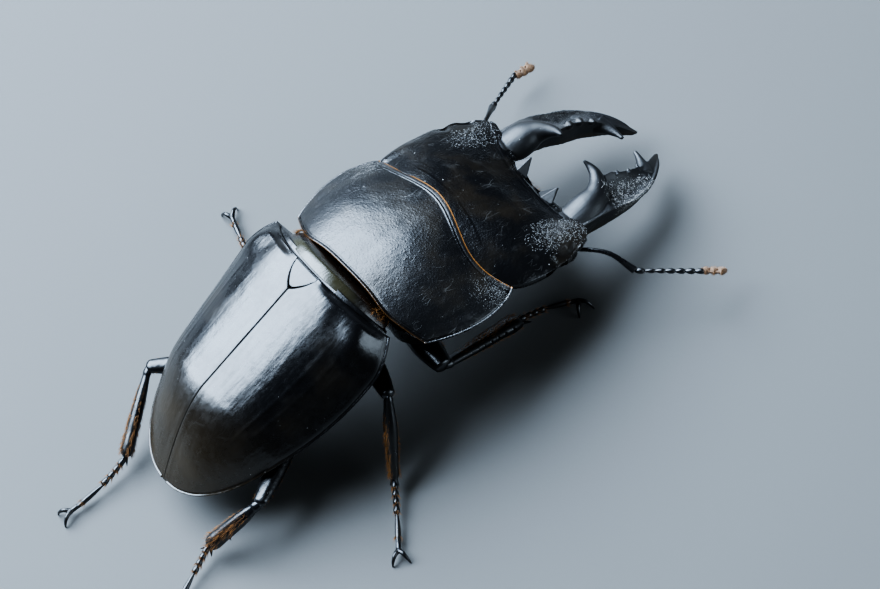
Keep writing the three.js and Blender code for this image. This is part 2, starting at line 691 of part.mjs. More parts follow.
// Four short joints and a long one that carries the claws: a bar that swells at the end of each joint.
function tarsus(leg) {
  const { ankle, arch: middle, toe } = LEGS[leg];
  const curve = new THREE.QuadraticBezierCurve3(at(...ankle), at(...middle), at(...toe));
  const start = (FIT_GAP + 0.05) / curve.getLength();
  const [thin, thick] = [0.3, 0.46];
  const stations = [
    [start, thin], [0.15, thick], [0.18, thin], [0.27, thick], [0.3, thin], [0.39, thick],
    [0.42, thin], [0.52, thick], [0.56, thin], [0.92, 0.44], [1, 0.38],
  ];
  const along = (s) => stations[Math.round(s * (stations.length - 1))];
  const path = {
    getPoint: (s) => curve.getPointAt(along(s)[0]),
    getTangent: (s) => curve.getTangentAt(along(s)[0]),
  };
  return sweep(path, at(0, 0, 1), (s) => [along(s)[1], along(s)[1]], stations.length - 1, 6);
}

// Two hooks that spring from one root and come down to the floor on their points.
function claws(leg) {
  const { toe, arch: middle, clawHeading } = LEGS[leg];
  const heading = at(clawHeading[0], clawHeading[1], 0).normalize();
  const root = at(...toe).add(at(...toe).sub(at(...middle)).setLength(FIT_GAP + LEG_SIZE.claw));
  const hook = (side) => {
    const out = heading.clone().applyAxisAngle(at(0, 0, 1), side * 34 * DEGREE);
    const along = (reach, up) => root.clone().addScaledVector(out, reach).setZ(up);
    return [along(0.9, root.z + 0.2), along(1.5, 0.75 * root.z), along(1.8, -0.2)];
  };
  const curve = new THREE.CatmullRomCurve3([...hook(-1).reverse(), root, ...hook(1)], false, "centripetal");
  const radius = (s) => LEG_SIZE.claw + 0.06 * Math.sin(Math.PI * s);
  return standOnFloor(sweep(curve, heading, (s) => [radius(s), radius(s)], 10, 5));
}

// ---------------------------------------------------------------- the whole beetle
const sides = { right: -1, left: 1 };
const legRoom = (leg, block) => [coxa, femur].map((part) => carried(part(leg, FIT_GAP), beetle, block));
const neckTool = (block) => carried(headCapsule(FIT_GAP), headBlock, block);
const waistTool = (block) => carried(mesothorax(FIT_GAP), hindbody, block);

place(headBlock, "head", cut(headCapsule(), eyeBall(-1, FIT_GAP), eyeBall(1, FIT_GAP)), FINISH.satin());
place(headBlock, "labrum", cut(labrum(), headCapsule(FIT_GAP)), FINISH.shell());
place(headBlock, "mentum", cut(mentum(), headCapsule(FIT_GAP)), FINISH.satin());
place(prothorax, "pronotum", cut(pronotum(), neckTool(prothorax), waistTool(prothorax)), FINISH.satin());
place(
  prothorax,
  "prosternum",
  cut(
    prosternum(), neckTool(prothorax), waistTool(prothorax),
    ...legRoom("front_right", prothorax), ...legRoom("front_left", prothorax),
  ),
  FINISH.shell(),
);
place(
  hindbody,
  "mesothorax",
  cut(mesothorax(), ...legRoom("middle_right", hindbody), ...legRoom("middle_left", hindbody)),
  FINISH.shell(),
);
place(hindbody, "scutellum", scutellum(), FINISH.shell());
place(
  hindbody,
  "metathorax",
  cut(
    metathorax(),
    ...["middle_right", "middle_left", "hind_right", "hind_left"].flatMap((leg) => legRoom(leg, hindbody)),
  ),
  FINISH.shell(),
);
place(
  hindbody,
  "abdomen",
  cut(abdomen(), ...legRoom("hind_right", hindbody), ...legRoom("hind_left", hindbody)),
  FINISH.shell(),
);

for (const [name, side] of Object.entries(sides)) {
  place(hindbody, `elytron_${name}`, elytron(side), FINISH.shell());
  place(headBlock, `eye_${name}`, eyeBall(side), FINISH.eye());
  place(headBlock, `mandible_${name}`, cut(mandible(side), headCapsule(FIT_GAP)), FINISH.shell());
  place(headBlock, `maxillary_palp_${name}`, palp(side, [11.9, 3.2, -4.3], 3.0), FINISH.shell());
  place(headBlock, `labial_palp_${name}`, palp(side, [11.9, 1.1, -4.8], 2.0), FINISH.shell());
  place(beetle, `antenna_scape_${name}`, cut(scape(side), neckTool(beetle)), FINISH.shell());
  place(beetle, `antenna_funicle_${name}`, funicle(side), FINISH.shell());
  place(beetle, `antenna_club_${name}`, antennaClub(side), FINISH.amber());
}
for (const leg of Object.keys(LEGS)) {
  place(beetle, `coxa_${leg}`, coxa(leg), FINISH.shell());
  place(beetle, `femur_${leg}`, cut(femur(leg), coxa(leg, FIT_GAP)), FINISH.shell());
  place(beetle, `tibia_${leg}`, tibia(leg), FINISH.shell());
  place(beetle, `tarsus_${leg}`, tarsus(leg), FINISH.shell());
  place(beetle, `claws_${leg}`, claws(leg), FINISH.shell());
}

export default beetle;
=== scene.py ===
"""A life-size stag beetle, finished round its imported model.

Lengths inside the shape functions are millimetres in the frames of the beetle's own body
blocks, read as (forward, left, up). The beetle faces -Y and its own left side is +X.
"""

import math

import bmesh
import bpy
import numpy as np
from bpy.props import FloatProperty, FloatVectorProperty, IntProperty, PointerProperty
from mathutils import Matrix


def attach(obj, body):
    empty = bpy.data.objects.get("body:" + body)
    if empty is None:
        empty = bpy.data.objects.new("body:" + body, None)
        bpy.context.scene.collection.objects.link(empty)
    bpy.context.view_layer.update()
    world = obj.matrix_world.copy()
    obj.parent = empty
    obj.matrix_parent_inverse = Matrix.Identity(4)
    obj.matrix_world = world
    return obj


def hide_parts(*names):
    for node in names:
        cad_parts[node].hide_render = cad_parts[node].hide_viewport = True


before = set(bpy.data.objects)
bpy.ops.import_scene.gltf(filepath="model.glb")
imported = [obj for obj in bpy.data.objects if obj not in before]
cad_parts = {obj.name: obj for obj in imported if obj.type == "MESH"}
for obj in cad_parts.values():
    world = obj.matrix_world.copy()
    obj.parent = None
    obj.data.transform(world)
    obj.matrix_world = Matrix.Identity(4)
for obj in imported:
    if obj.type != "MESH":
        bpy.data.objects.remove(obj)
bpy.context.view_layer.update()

bl_info = {
    "name": "Stag beetle model",
    "version": (1, 0, 0),
    "blender": (4, 5, 0),
    "location": "3D View > Sidebar > Beetle",
    "description": "Builds the finished shell, bristles and finishes of a large stag beetle",
    "category": "Object",
}

MM = 0.001
SIDES = {"right": -1, "left": 1}

# ------------------------------------------------------------------ sizes the model stands on
STANCE = {
    "hindbody": dict(up=16.4, pitch=20),
    "prothorax": dict(forward=1.97, left=-0.7, up=-3.28, pitch=-17.7, yaw=1.2, roll=0.9),
    "head": dict(forward=12.2, up=-1.96, pitch=-12.25, yaw=-5.7),
}
CENTRE = (-1.33, 1.31)  # shift that puts the whole beetle over the origin
LEGS = {
    "front_right": dict(
        hip=(4.6, -5.0, 8.3), knee=(4.3, -12.9, 8.0), ankle=(15.7, -10.7, 2.5),
        arch=(18.9, -10.6, 1.6), toe=(22.4, -12.3, 1.1), claw=(-0.1, -1),
    ),
    "front_left": dict(
        hip=(4.8, 4.2, 8.3), knee=(5.6, 12.7, 7.7), ankle=(16.7, 12.0, 2.3),
        arch=(19.8, 12.3, 1.5), toe=(23.2, 14.0, 1.0), claw=(0.7, 1),
    ),
    "middle_right": dict(
        hip=(-0.9, -4.6, 9.2), knee=(-3.3, -13.5, 11.2), ankle=(-7.6, -17.3, 2.2),
        arch=(-9.7, -20.4, 1.2), toe=(-12.1, -23.7, 0.9), claw=(-0.55, -1),
    ),
    "middle_left": dict(
        hip=(-0.9, 4.6, 9.2), knee=(-3.0, 13.7, 11.2), ankle=(-2.2, 19.9, 2.2),
        arch=(-1.4, 23.1, 1.2), toe=(-0.4, 26.4, 0.9), claw=(0.25, 1),
    ),
    "hind_right": dict(
        hip=(-11.2, -5.0, 5.5), knee=(-21.5, -12.0, 6.9), ankle=(-28.5, -9.4, 2.1),
        arch=(-31.0, -10.2, 1.2), toe=(-35.2, -12.3, 0.9), claw=(-1, -0.45),
    ),
    "hind_left": dict(
        hip=(-11.2, 5.0, 5.6), knee=(-20.8, 12.1, 7.0), ankle=(-29.2, 7.2, 2.1),
        arch=(-32.6, 6.3, 1.2), toe=(-37.2, 6.5, 0.9), claw=(-1, 0.12),
    ),
}
LEG_GIRTH = {
    "coxa": dict(front=2.0, middle=1.75, hind=1.8),
    "femur": dict(front=1.6, middle=1.2, hind=1.25),
    "tibia": dict(front=1.12, middle=0.9, hind=0.86),
}
FEELERS = {
    "right": dict(
        bend=(27.4, -14.5, 8.2), elbow=(28.6, -17.4, 6.5), club=(34.4, -22.2, 5.4), tip=(36.0, -23.8, 5.2)
    ),
    "left": dict(
        bend=(29.6, 11.5, 7.9), elbow=(31.3, 13.5, 5.9), club=(37.1, 17.2, 3.4), tip=(39.1, 17.1, 3.7)
    ),
}


def size(text, millimetres):
    return FloatProperty(name=text.split(":")[0], description=text, unit="LENGTH", default=millimetres * MM)


def tint(text, colour):
    return FloatVectorProperty(
        name=text.split(":")[0], description=text, subtype="COLOR", size=3, min=0, max=1, default=colour
    )


def share(text, value):
    return FloatProperty(
        name=text.split(":")[0], description=text, subtype="FACTOR", min=0, max=1, default=value
    )


def power(text, watts):
    return FloatProperty(name=text.split(":")[0], description=text, unit="POWER", default=watts)


class BeetleSizes(bpy.types.PropertyGroup):
    """Lengths of the shell pieces"""

    elytra_length: size("Elytra length: from the base margin to the apex", 30.3)
    elytra_half_width: size("Elytra half width: widest place of one wing case", 12.95)
    elytra_bead: size("Elytra bead: height of the polished side rim", 0.2)
    pronotum_length: size("Pronotum length: along the middle line", 12.2)
    pronotum_bead: size("Pronotum bead: height of the side rim", 0.2)
    head_half_width: size("Head half width: at the cheeks", 12.85)
    head_length: size("Head length: from the neck line to the front margin", 11.2)
    wall: size("Wall: thickness of the shell plates", 0.8)
    jaw_voxel: size("Jaw detail: size of the cells the jaws are fused with", 0.1)
    leg_voxel: size("Leg detail: size of the cells the legs are fused with", 0.07)


class BeetleHair(bpy.types.PropertyGroup):
    """Bristles, fringes and granules"""

    fringe_length: size("Fringe length: hairs along the margins of the pronotum", 0.42)
    leg_bristle: size("Leg bristle length: stiff bristles on tibiae and tarsi", 0.85)
    belly_hair: size("Belly hair length: soft hair between the legs", 1.1)
    thickness: size("Hair thickness: radius of a bristle at its root", 0.03)
    granule: size("Granule size: radius of a grain on the head and jaws", 0.07)
    seed: IntProperty(name="Seed", description="Seed of every random draw", default=7)


class BeetleFinish(bpy.types.PropertyGroup):
    """Colours and gloss of the finishes"""

    shell: tint("Shell colour: black chitin", (0.0045, 0.0045, 0.0052))
    # brown is the chitin's own tone on the jaws' undersides and in the random cloud, and a painted reflection
    # of dark bark on the rear of the wing cases
    brown: tint("Brown cast: where the chitin thins out", (0.03, 0.02, 0.009))
    # olive is partly the waist plate's own tint and partly a painted reflection of olive surroundings
    olive: tint("Olive cast: the plate before the wing cases", (0.034, 0.03, 0.014))
    # dust is also the colour that grains and grainy chitin are lightened towards as a painted sheen
    dust: tint("Dust colour: pale specks", (0.55, 0.53, 0.5))
    amber: tint("Bristle colour: gold to orange hair", (0.42, 0.19, 0.055))
    club: tint("Club colour: velvety feeler clubs", (0.30, 0.18, 0.105))
    floor: tint("Floor colour", (0.135, 0.132, 0.125))
    gloss: share("Gloss: roughness of polished chitin", 0.22)
    satin: share("Satin: roughness of the granular chitin", 0.3)


class BeetleStage(bpy.types.PropertyGroup):
    """Camera and light"""

    lens: FloatProperty(name="Lens", description="Focal length in millimetres", default=120.4)
    key_power: power("Key light: power of the large soft light", 11.5)
    fill_power: power("Fill light: power of the low fill light", 0.9)
    sky: FloatProperty(name="Room light", description="Strength of the even room light", default=0.085)


# ------------------------------------------------------------------ small maths
def at(forward, left, up):
    return np.stack(np.broadcast_arrays(left, -np.asarray(forward, float), up), axis=-1).astype(float)


def mix(a, b, t):
    return a + (b - a) * t


def clamp01(x):
    return np.clip(x, 0.0, 1.0)


def smooth(x, low, high):
    t = clamp01((np.asarray(x, float) - low) / (high - low))
    return t * t * (3 - 2 * t)


def bell(x, middle, width):
    return np.exp(-(((x - middle) / width) ** 2))


def unit(v):
    v = np.asarray(v, float)
    return v / np.maximum(np.linalg.norm(v, axis=-1, keepdims=True), 1e-12)


def spline(x, stops):
    """Smooth curve through (place, value) stops."""
    places, values = np.array(stops, float).T
    slopes = np.gradient(values, places)
    i = np.clip(np.searchsorted(places, x, side="right") - 1, 0, len(places) - 2)
    gap = places[i + 1] - places[i]
    t = clamp01((x - places[i]) / gap)
    a, b = values[i], values[i + 1]
    return (
        a * (1 + 2 * t) * (1 - t) ** 2
        + slopes[i] * gap * t * (1 - t) ** 2
        + b * t * t * (3 - 2 * t)
        + slopes[i + 1] * gap * t * t * (t - 1)
    )


def ripple(points, scale, seed):
    """Slow unevenness of a surface, a sum of waves in random directions."""
    draw = np.random.default_rng(seed)
    total = np.zeros(points.shape[:-1])
    for _ in range(7):
        direction = unit(draw.normal(size=3))
        wave = 2 * math.pi / (scale * draw.uniform(0.6, 1.6))
        total += np.sin(points @ direction * wave + draw.uniform(0, 6.28)) / 7
    return total


# ------------------------------------------------------------------ frames of the body blocks
def block(parent, forward=0, left=0, up=0, pitch=0, yaw=0, roll=0):
    turn = (
        Matrix.Rotation(math.radians(yaw), 4, "Z")
        @ Matrix.Rotation(math.radians(-pitch), 4, "X")
        @ Matrix.Rotation(math.radians(-roll), 4, "Y")
    )
    placed = np.array(turn)
    placed[:3, 3] = (left, -forward, up)
    return parent @ placed


FLOOR = np.eye(4)
FLOOR[:2, 3] = CENTRE
HIND = block(FLOOR, **STANCE["hindbody"])
THORAX = block(HIND, **STANCE["prothorax"])
HEAD = block(THORAX, **STANCE["head"])


def seated(points, place):
    return points @ place[:3, :3].T + place[:3, 3]


def seen_from(points, place, other):
    """Points of one block in another block's frame."""
    return seated(points, np.linalg.inv(other) @ place)


def folded(points):
    """Forward, left without its sign, and up of points in a block's frame."""
    return -points[..., 1], np.abs(points[..., 0]), points[..., 2]


# ------------------------------------------------------------------ surfaces
def grid_faces(rows, columns, wrap=False, start=0):
    across = columns if wrap else columns - 1
    r, c = np.meshgrid(np.arange(rows - 1), np.arange(across), indexing="ij")
    a = r * columns + c
    b = r * columns + (c + 1) % columns
    return (np.stack([a, b, b + columns, a + columns], axis=-1).reshape(-1, 4) + start).tolist()


def ring_shell(rings):
    """Closed skin over a row of rings, with a fan at both ends."""
    rows, sides, _ = rings.shape
    points = np.concatenate([rings.reshape(-1, 3), rings[0].mean(0)[None], rings[-1].mean(0)[None]])
    faces = grid_faces(rows, sides, wrap=True)
    first, last, base = rows * sides, rows * sides + 1, (rows - 1) * sides
    for k in range(sides):
        faces.append([(k + 1) % sides, k, first])
        faces.append([base + k, base + (k + 1) % sides, last])
    return points, faces


def upward_normals(grid):
    """Unit normals of a (rows, columns, 3) sheet, on its upper side."""
    outward = unit(np.cross(np.gradient(grid, axis=1), np.gradient(grid, axis=0)))
    return outward * np.sign(outward[..., 2].mean())


def joined_sheets(top, below):
    """Closed plate between an upper and a lower sheet."""
    rows, columns, _ = top.shape
    count = rows * columns
    faces = grid_faces(rows, columns)
    faces += [list(reversed(f)) for f in grid_faces(rows, columns, start=count)]
    index = np.arange(count).reshape(rows, columns)
    border = np.concatenate([index[0, :-1], index[:-1, -1], index[-1, :0:-1], index[:0:-1, 0]])
    for a, b in zip(border, np.roll(border, -1)):
        faces.append([int(b), int(a), int(a + count), int(b + count)])
    return np.concatenate([top.reshape(-1, 3), below.reshape(-1, 3)]), faces


def tube(path, across, tall, up=(0, 0, 1), sides=24, reach=None):
    """Rings along a path. reach(angle, share) scales the section; across and tall are its radii."""
    path = np.asarray(path, float)
    heading = unit(np.gradient(path, axis=0))
    sideways = unit(np.cross(heading, np.asarray(up, float)))
    upward = np.cross(sideways, heading)
    angle = np.linspace(0, 2 * math.pi, sides, endpoint=False)
    share_along = np.linspace(0, 1, len(path))
    shape = np.ones((len(path), sides)) if reach is None else reach(angle[None, :], share_along[:, None])
    across = np.broadcast_to(across, len(path))[:, None] * shape * np.cos(angle)
    tall = np.broadcast_to(tall, len(path))[:, None] * shape * np.sin(angle)
    return path[:, None] + across[..., None] * sideways[:, None] + tall[..., None] * upward[:, None]


def rod(path, across, tall, **section):
    """Closed tube along a path."""
    return ring_shell(tube(path, across, tall, **section))


def rounded(x, cap):
    """Falls to zero at both ends of 0..1 like the end of a ball."""
    end = clamp01(np.minimum(x, 1 - x) / cap)
    return np.sqrt(np.maximum(1 - (1 - end) ** 2, 0.0004))


def even(count, low=0.0, high=1.0, gather=0.0):
    """Even shares from low to high, drawn towards both ends by gather."""
    x = np.linspace(0, 1, count)
    return mix(low, high, mix(x, (1 - np.cos(math.pi * x)) / 2, gather))


def bezier(a, b, c, count):
    t = np.linspace(0, 1, count)[:, None]
    a, b, c = (np.asarray(p, float) for p in (a, b, c))
    return (1 - t) ** 2 * a + 2 * t * (1 - t) * b + t * t * c


def through(points, count):
    """Smooth path through points, with evenly spaced places along it."""
    points = np.asarray(points, float)
    length = np.concatenate([[0], np.cumsum(np.linalg.norm(np.diff(points, axis=0), axis=1))])
    x = np.linspace(0, length[-1], count)
    return np.stack([spline(x, np.stack([length, points[:, k]], 1)) for k in range(3)], 1)


def ball(centre, radii, detail=24):
    """Closed egg with its long axes along the block's own axes. radii are (forward, left, up)."""
    down = np.linspace(0.02, math.pi - 0.02, detail // 2 + 1)[:, None]
    round_angle = np.linspace(0, 2 * math.pi, detail, endpoint=False)[None, :]
    rings = at(
        centre[0] + radii[0] * np.sin(down) * np.cos(round_angle),
        centre[1] + radii[1] * np.sin(down) * np.sin(round_angle),
        centre[2] + radii[2] * np.cos(down) * np.ones_like(round_angle),
    )
    return ring_shell(rings)


def spike(root, tip, radius, sides=10, curl=0.0, side=(0, 0, 1)):
    """Pointed tooth from root to tip, with a rounded point."""
    root, tip = np.asarray(root, float), np.asarray(tip, float)
    bend = unit(np.cross(tip - root, np.asarray(side, float))) * curl
    path = bezier(root, (root + tip) / 2 + bend, tip, 12)
    x = np.linspace(0, 1, 12)
    girth = radius * (1 - x) ** 0.85 + 0.02
    return ring_shell(tube(path, girth, girth, up=unit(bend + np.array([0.1, 0.2, 1.0])), sides=sides))


def merged(parts):
    points, faces, count = [], [], 0
    for some_points, some_faces in parts:
        points.append(some_points)
        faces += [[i + count for i in f] for f in some_faces]
        count += len(some_points)
    return np.concatenate(points), faces


def fused(parts, cell, rounds=6):
    """One closed skin round all parts, with softened joints between them."""
    points, faces = merged(parts)
    mesh = bpy.data.meshes.new("fuse")
    mesh.from_pydata(points.tolist(), [], faces)
    holder = linked("fuse", mesh)
    recalculated(mesh)
    remesh = holder.modifiers.new("fuse", "REMESH")
    remesh.mode, remesh.voxel_size, remesh.use_smooth_shade = "VOXEL", cell, True
    skin = bpy.data.meshes.new_from_object(holder.evaluated_get(bpy.context.evaluated_depsgraph_get()))
    bpy.data.objects.remove(holder)
    count = len(skin.vertices)
    co = np.zeros(count * 3)
    skin.vertices.foreach_get("co", co)
    co = co.reshape(-1, 3)
    pairs = np.zeros(len(skin.edges) * 2, int)
    skin.edges.foreach_get("vertices", pairs)
    a, b = pairs.reshape(-1, 2).T
    near = np.maximum(np.bincount(a, minlength=count) + np.bincount(b, minlength=count), 1)[:, None]
    for step in range(2 * rounds):
        total = np.zeros_like(co)
        for k in range(3):
            total[:, k] = np.bincount(a, co[b, k], count) + np.bincount(b, co[a, k], count)
        co = co + (0.55 if step % 2 == 0 else -0.57) * (total / near - co)
    faces = [list(p.vertices) for p in skin.polygons]
    bpy.data.meshes.remove(skin)
    bpy.data.meshes.remove(mesh)
    return co, faces


def linked(name, data):
    """A new object on the scene."""
    made = bpy.data.objects.new(name, data)
    bpy.context.scene.collection.objects.link(made)
    return made


def placed_mesh(name, points, faces, place):
    """A mesh in metres from points in a block's frame."""
    mesh = bpy.data.meshes.new(name)
    mesh.from_pydata((seated(points, place) * MM).tolist(), [], faces)
    return mesh


def recalculated(mesh):
    """Turn all faces of a closed mesh outward."""
    work = bmesh.new()
    work.from_mesh(mesh)
    bmesh.ops.recalc_face_normals(work, faces=work.faces)
    if work.calc_volume(signed=True) < 0:
        bmesh.ops.reverse_faces(work, faces=work.faces)
    work.to_mesh(mesh)
    work.free()


def piece(name, shape, place, finish, nodes=(), masks=None):
    """A finished object from (points, faces) in a block's frame. masks are values per point."""
    mesh = placed_mesh(name, *shape, place)
    recalculated(mesh)
    mesh.shade_smooth()
    for mask, values in (masks or {}).items():
        layer = mesh.attributes.new(mask, "FLOAT", "POINT")
        layer.data.foreach_set("value", np.asarray(values, np.float32).ravel())
    mesh.materials.append(finishes()[finish])
    settle(linked(name, mesh), nodes)


def settle(made, nodes=()):
    """Put a piece on the root body and hide the imported nodes it stands for."""
    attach(made, "root")
    if nodes:
        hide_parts(*nodes)


# ------------------------------------------------------------------ hind body
WING_BASE, WING_LENGTH = 0.1, 30.3  # where the wing cases begin, and how far back they reach


def wing_share(forward):
    """0 at the base of the wing cases, 1 at their tips."""
    return clamp01((WING_BASE - forward) / WING_LENGTH)


def elytra_half(s, half=12.95):
    return half * np.maximum(1 - s**2.4, 0) ** 0.47 * (1 - 0.146 * np.maximum(0, 1 - s / 0.15) ** 1.7)


def elytra_rim(s):
    return -1.88 * s - 0.95 * np.where(s < 0.62, np.sin(math.pi * s / 0.62), 0)


def elytra_height(s, t):
    ridge = 5.3 - 0.35 * np.maximum(0, 1 - s / 0.12) ** 2 - 0.6 * s
    ridge = ridge - 6.58 * np.maximum(0, (s - 0.6) / 0.4) ** 1.5
    rim = elytra_rim(s)
    return rim + (ridge - rim) * (1 - np.abs(t) ** 2.9)


def base_curve(s, t):
    return 0.5 * (1 - t * t) * (1 - s) ** 4


def scutellum_edge(forward):
    along = clamp01((WING_BASE - forward) / 3.3)
    return 2.0 * (1 - along**1.6) ** 0.8


def nearness(grid, curve):
    """Distance of every point of a sheet to a polyline's points."""
    return np.stack([np.linalg.norm(row[:, None] - curve[None], axis=-1).min(1) for row in grid])


def bead(distance, width, height):
    """Profile of a raised edge with a gutter behind it."""
    edge, gutter = bell(distance, 0.9 * width, 0.85 * width), bell(distance, 3.0 * width, 1.1 * width)
    return height * (edge - 0.8 * gutter)


def wing_case(side, sizes):
    """One wing case: a vaulted plate with a side rim, a shoulder bump, fine ribs and a straight seam."""
    length, half = sizes.elytra_length / MM, sizes.elytra_half_width / MM
    rim_bead = sizes.elytra_bead / MM
    v, p = np.meshgrid(even(220, gather=0.25), even(150, gather=0.3), indexing="ij")
    s = 0.9993 * (1 - (1 - v) ** 1.7)
    station = WING_BASE - length * s
    half_here = elytra_half(s, half)
    inner = np.minimum(np.maximum(0.02, scutellum_edge(station + 0.03) + 0.018), half_here * 0.9)
    left = mix(inner, half_here, p**0.85)
    t = left / np.maximum(half_here, 0.01)
    sheet = at(station - base_curve(s, t), side * left, elytra_height(s, t))
    rim = nearness(sheet, sheet[:, -1])
    base = nearness(sheet, sheet[0])
    seam = left - inner
    open_back = smooth(s, 0.02, 0.14)
    lift = bead(rim, 0.11, 0.45 * rim_bead) + bead(base, 0.12, 0.04) * (1 - bell(t, 1, 0.08))
    lift -= 0.5 * (1 - smooth(base, 0, 1.15)) * (1 - bell(t, 1, 0.1)) * smooth(seam, 0.1, 2.6)
    lift += open_back * (0.012 * bell(seam, 0.5, 0.25) - 0.012 * bell(seam, 1.1, 0.35))
    lift -= 0.04 * bell(seam, 0, 0.04)
    lift += 0.5 * bell(s, 0.09, 0.075) * bell(t, 0.77, 0.1) - 0.1 * bell(s, 0.07, 0.05) * bell(t, 0.56, 0.07)
    along = smooth(s, 0.1, 0.26) * (1 - smooth(s, 0.5, 0.8))
    lift += along * (0.05 * bell(t, 0.64, 0.02) + 0.04 * bell(t, 0.735, 0.018) + 0.03 * bell(t, 0.82, 0.016))
    lift += along * 0.006 * np.cos(2 * math.pi * left / 1.45 + 0.5 * np.sin(station * 0.7))
    place = np.stack([station * 0.35, left, station * 0.0], -1)
    lift += 0.010 * ripple(place, 1.7, 5 + side) + 0.022 * ripple(sheet, 5.0, 9 + side)
    outward = upward_normals(sheet)
    top = sheet + outward * lift[..., None]
    thick = mix(0.8, 1.0, 1 - t**2.9) * mix(1, 0.6, s)
    tuck = at(0 * t, -side * (0.5 * t**10 - 0.02 * (1 - t)), -thick)
    shape = joined_sheets(top, sheet + tuck)
    masks = {
        # apex: rear of the wing case, where brown is mixed in as a painted reflection of dark bark
        "apex": smooth(s, 0.45, 1.0),
        "polish": clamp01(bell(rim, 0.15, 0.3) + bell(base, 0.15, 0.25)),
        "groove": clamp01(bell(seam, 0, 0.12) + 0.7 * bell(rim, 0.6, 0.2) + 0.6 * bell(base, 0.5, 0.2)),
    }
    return shape, on_both_sheets(masks)


def on_both_sheets(masks):
    return {name: np.tile(values.ravel(), 2) for name, values in masks.items()}


def scutellum_plate():
    """The small plate between the bases of the wing cases."""
    v, p = np.meshgrid(even(60), even(60, -1, 1), indexing="ij")
    forward = WING_BASE - 3.25 * v
    edge = scutellum_edge(forward)
    left = (edge + 0.07) * p
    s = wing_share(forward)
    t = left / elytra_half(s)
    height = elytra_height(s, t) - 0.025 - 0.03 * np.abs(p) ** 20 - 0.1 * bell(v, 0, 0.06)
    height += 0.03 * bell(p, 0, 0.5) - 0.04 * bell(v, 0.25, 0.1)
    top = at(forward - base_curve(s, t) * (1 - v), left, height)
    return joined_sheets(top, top - at(0 * v, 0 * v, 0.85 + 0 * v))


def trunk(v, forward, half, over, under, across=110):
    """Rings of a body block, an arc over the top and one back underneath."""
    t = np.cos(np.linspace(0, math.pi, across))[None, :]
    v = np.asarray(v, float)[:, None]
    top = at(forward(v, t), half(v) * t, over(v, t))
    below = at(forward(v, t), half(v) * t, under(v, t))[:, -2:0:-1]
    return np.concatenate([top, below], axis=1)


def ring_normals(rings):
    around = np.roll(rings, -1, axis=1) - np.roll(rings, 1, axis=1)
    outward = unit(np.cross(around, np.gradient(rings, axis=0)))
    away = rings - rings.mean(axis=1, keepdims=True)
    return outward * np.sign((outward * away).sum(-1).mean())


def lifted(rings, lift):
    return rings + ring_normals(rings) * lift[..., None]


def waist_body():
    """The stalk between the prothorax and the wing cases."""

    def middle(v):
        return mix(-1.1, -3.4, v)

    def dome(t):
        return np.maximum(1 - np.abs(t) ** 2.2, 0) ** 0.8

    def over(v, t):
        top = mix(4.4 - 0.5 * (v / 0.28) ** 2 * (v < 0.28) - 0.5 * (v >= 0.28), -2.2, smooth(v, 0.24, 0.43))
        return mix(middle(v), top, dome(t))

    rings = trunk(
        even(120, 0, 1),
        lambda v, t: mix(0.25, 4.6, v) - 0.45 * (1 - t * t) * (1 - v) ** 2 - 0.4 * t * t * bell(v, 0.35, 0.2),
        lambda v: mix(8.9, 7.3, v),
        over,
        lambda v, t: mix(middle(v), -6.4 - 0.9 * v, dome(t)),
    )
    keel = 0.5 * bell(rings[..., 0], 0, 0.9) * smooth(-rings[..., 2], 3, 5)
    rings = lifted(rings, 0.03 * ripple(rings, 2.5, 3) + keel)
    upper = smooth(rings[..., 2], 1.5, 3.2)
    membrane = smooth(-rings[..., 2], -2.6, -0.6) * smooth(rings[..., 2], -3.0, -1.0)
    # olive: the upper part of the waist, tinted partly with its own colour and partly with a painted
    # reflection
    masks = {"olive": upper, "amber": membrane}
    return ring_shell(rings), {k: np.concatenate([m.ravel(), [0, 0]]) for k, m in masks.items()}


def under_elytra(forward, left):
    s = wing_share(forward)
    t = np.clip(left / elytra_half(s), -1, 1)
    return elytra_height(s, t) - 1.1


def breast_station(v):
    return mix(0.2, -11.6, v)


def breast_plate():
    """The plate between the middle and hind legs, parted by a groove in the middle."""

    def forward(v, t):
        return breast_station(v) - 0.5 * v * (1 - t * t)

    def half(v):
        return np.maximum(0.6, elytra_half(wing_share(breast_station(v))) - 0.9)

    def over(v, t):
        return under_elytra(breast_station(v), half(v) * t)

    def under(v, t):
        s = wing_share(breast_station(v))
        depth = 6.0 * (1 - 0.12 * v * v)
        edge = np.minimum(over(v, t) - 0.1, elytra_rim(s) - 0.3)
        groove = 0.22 * bell(t, 0, 0.022) * smooth(v, 0.1, 0.3)
        suture = 0.2 * bell(v, 0.78 + 0.1 * np.abs(t), 0.02) + 0.16 * bell(np.abs(t), 0.72 - 0.1 * v, 0.02)
        return edge - depth * (1 - np.abs(t) ** 2.2) + groove + suture

    rings = trunk(even(110), forward, half, over, under, 160)
    return ring_shell(lifted(rings, 0.02 * ripple(rings, 1.6, 21)))


BELLY_JOINTS = (0.0, 0.24, 0.43, 0.61, 0.78, 1.0)  # shares along the belly where one plate meets the next


def belly_station(v):
    return mix(-11.95, -28.9, v)


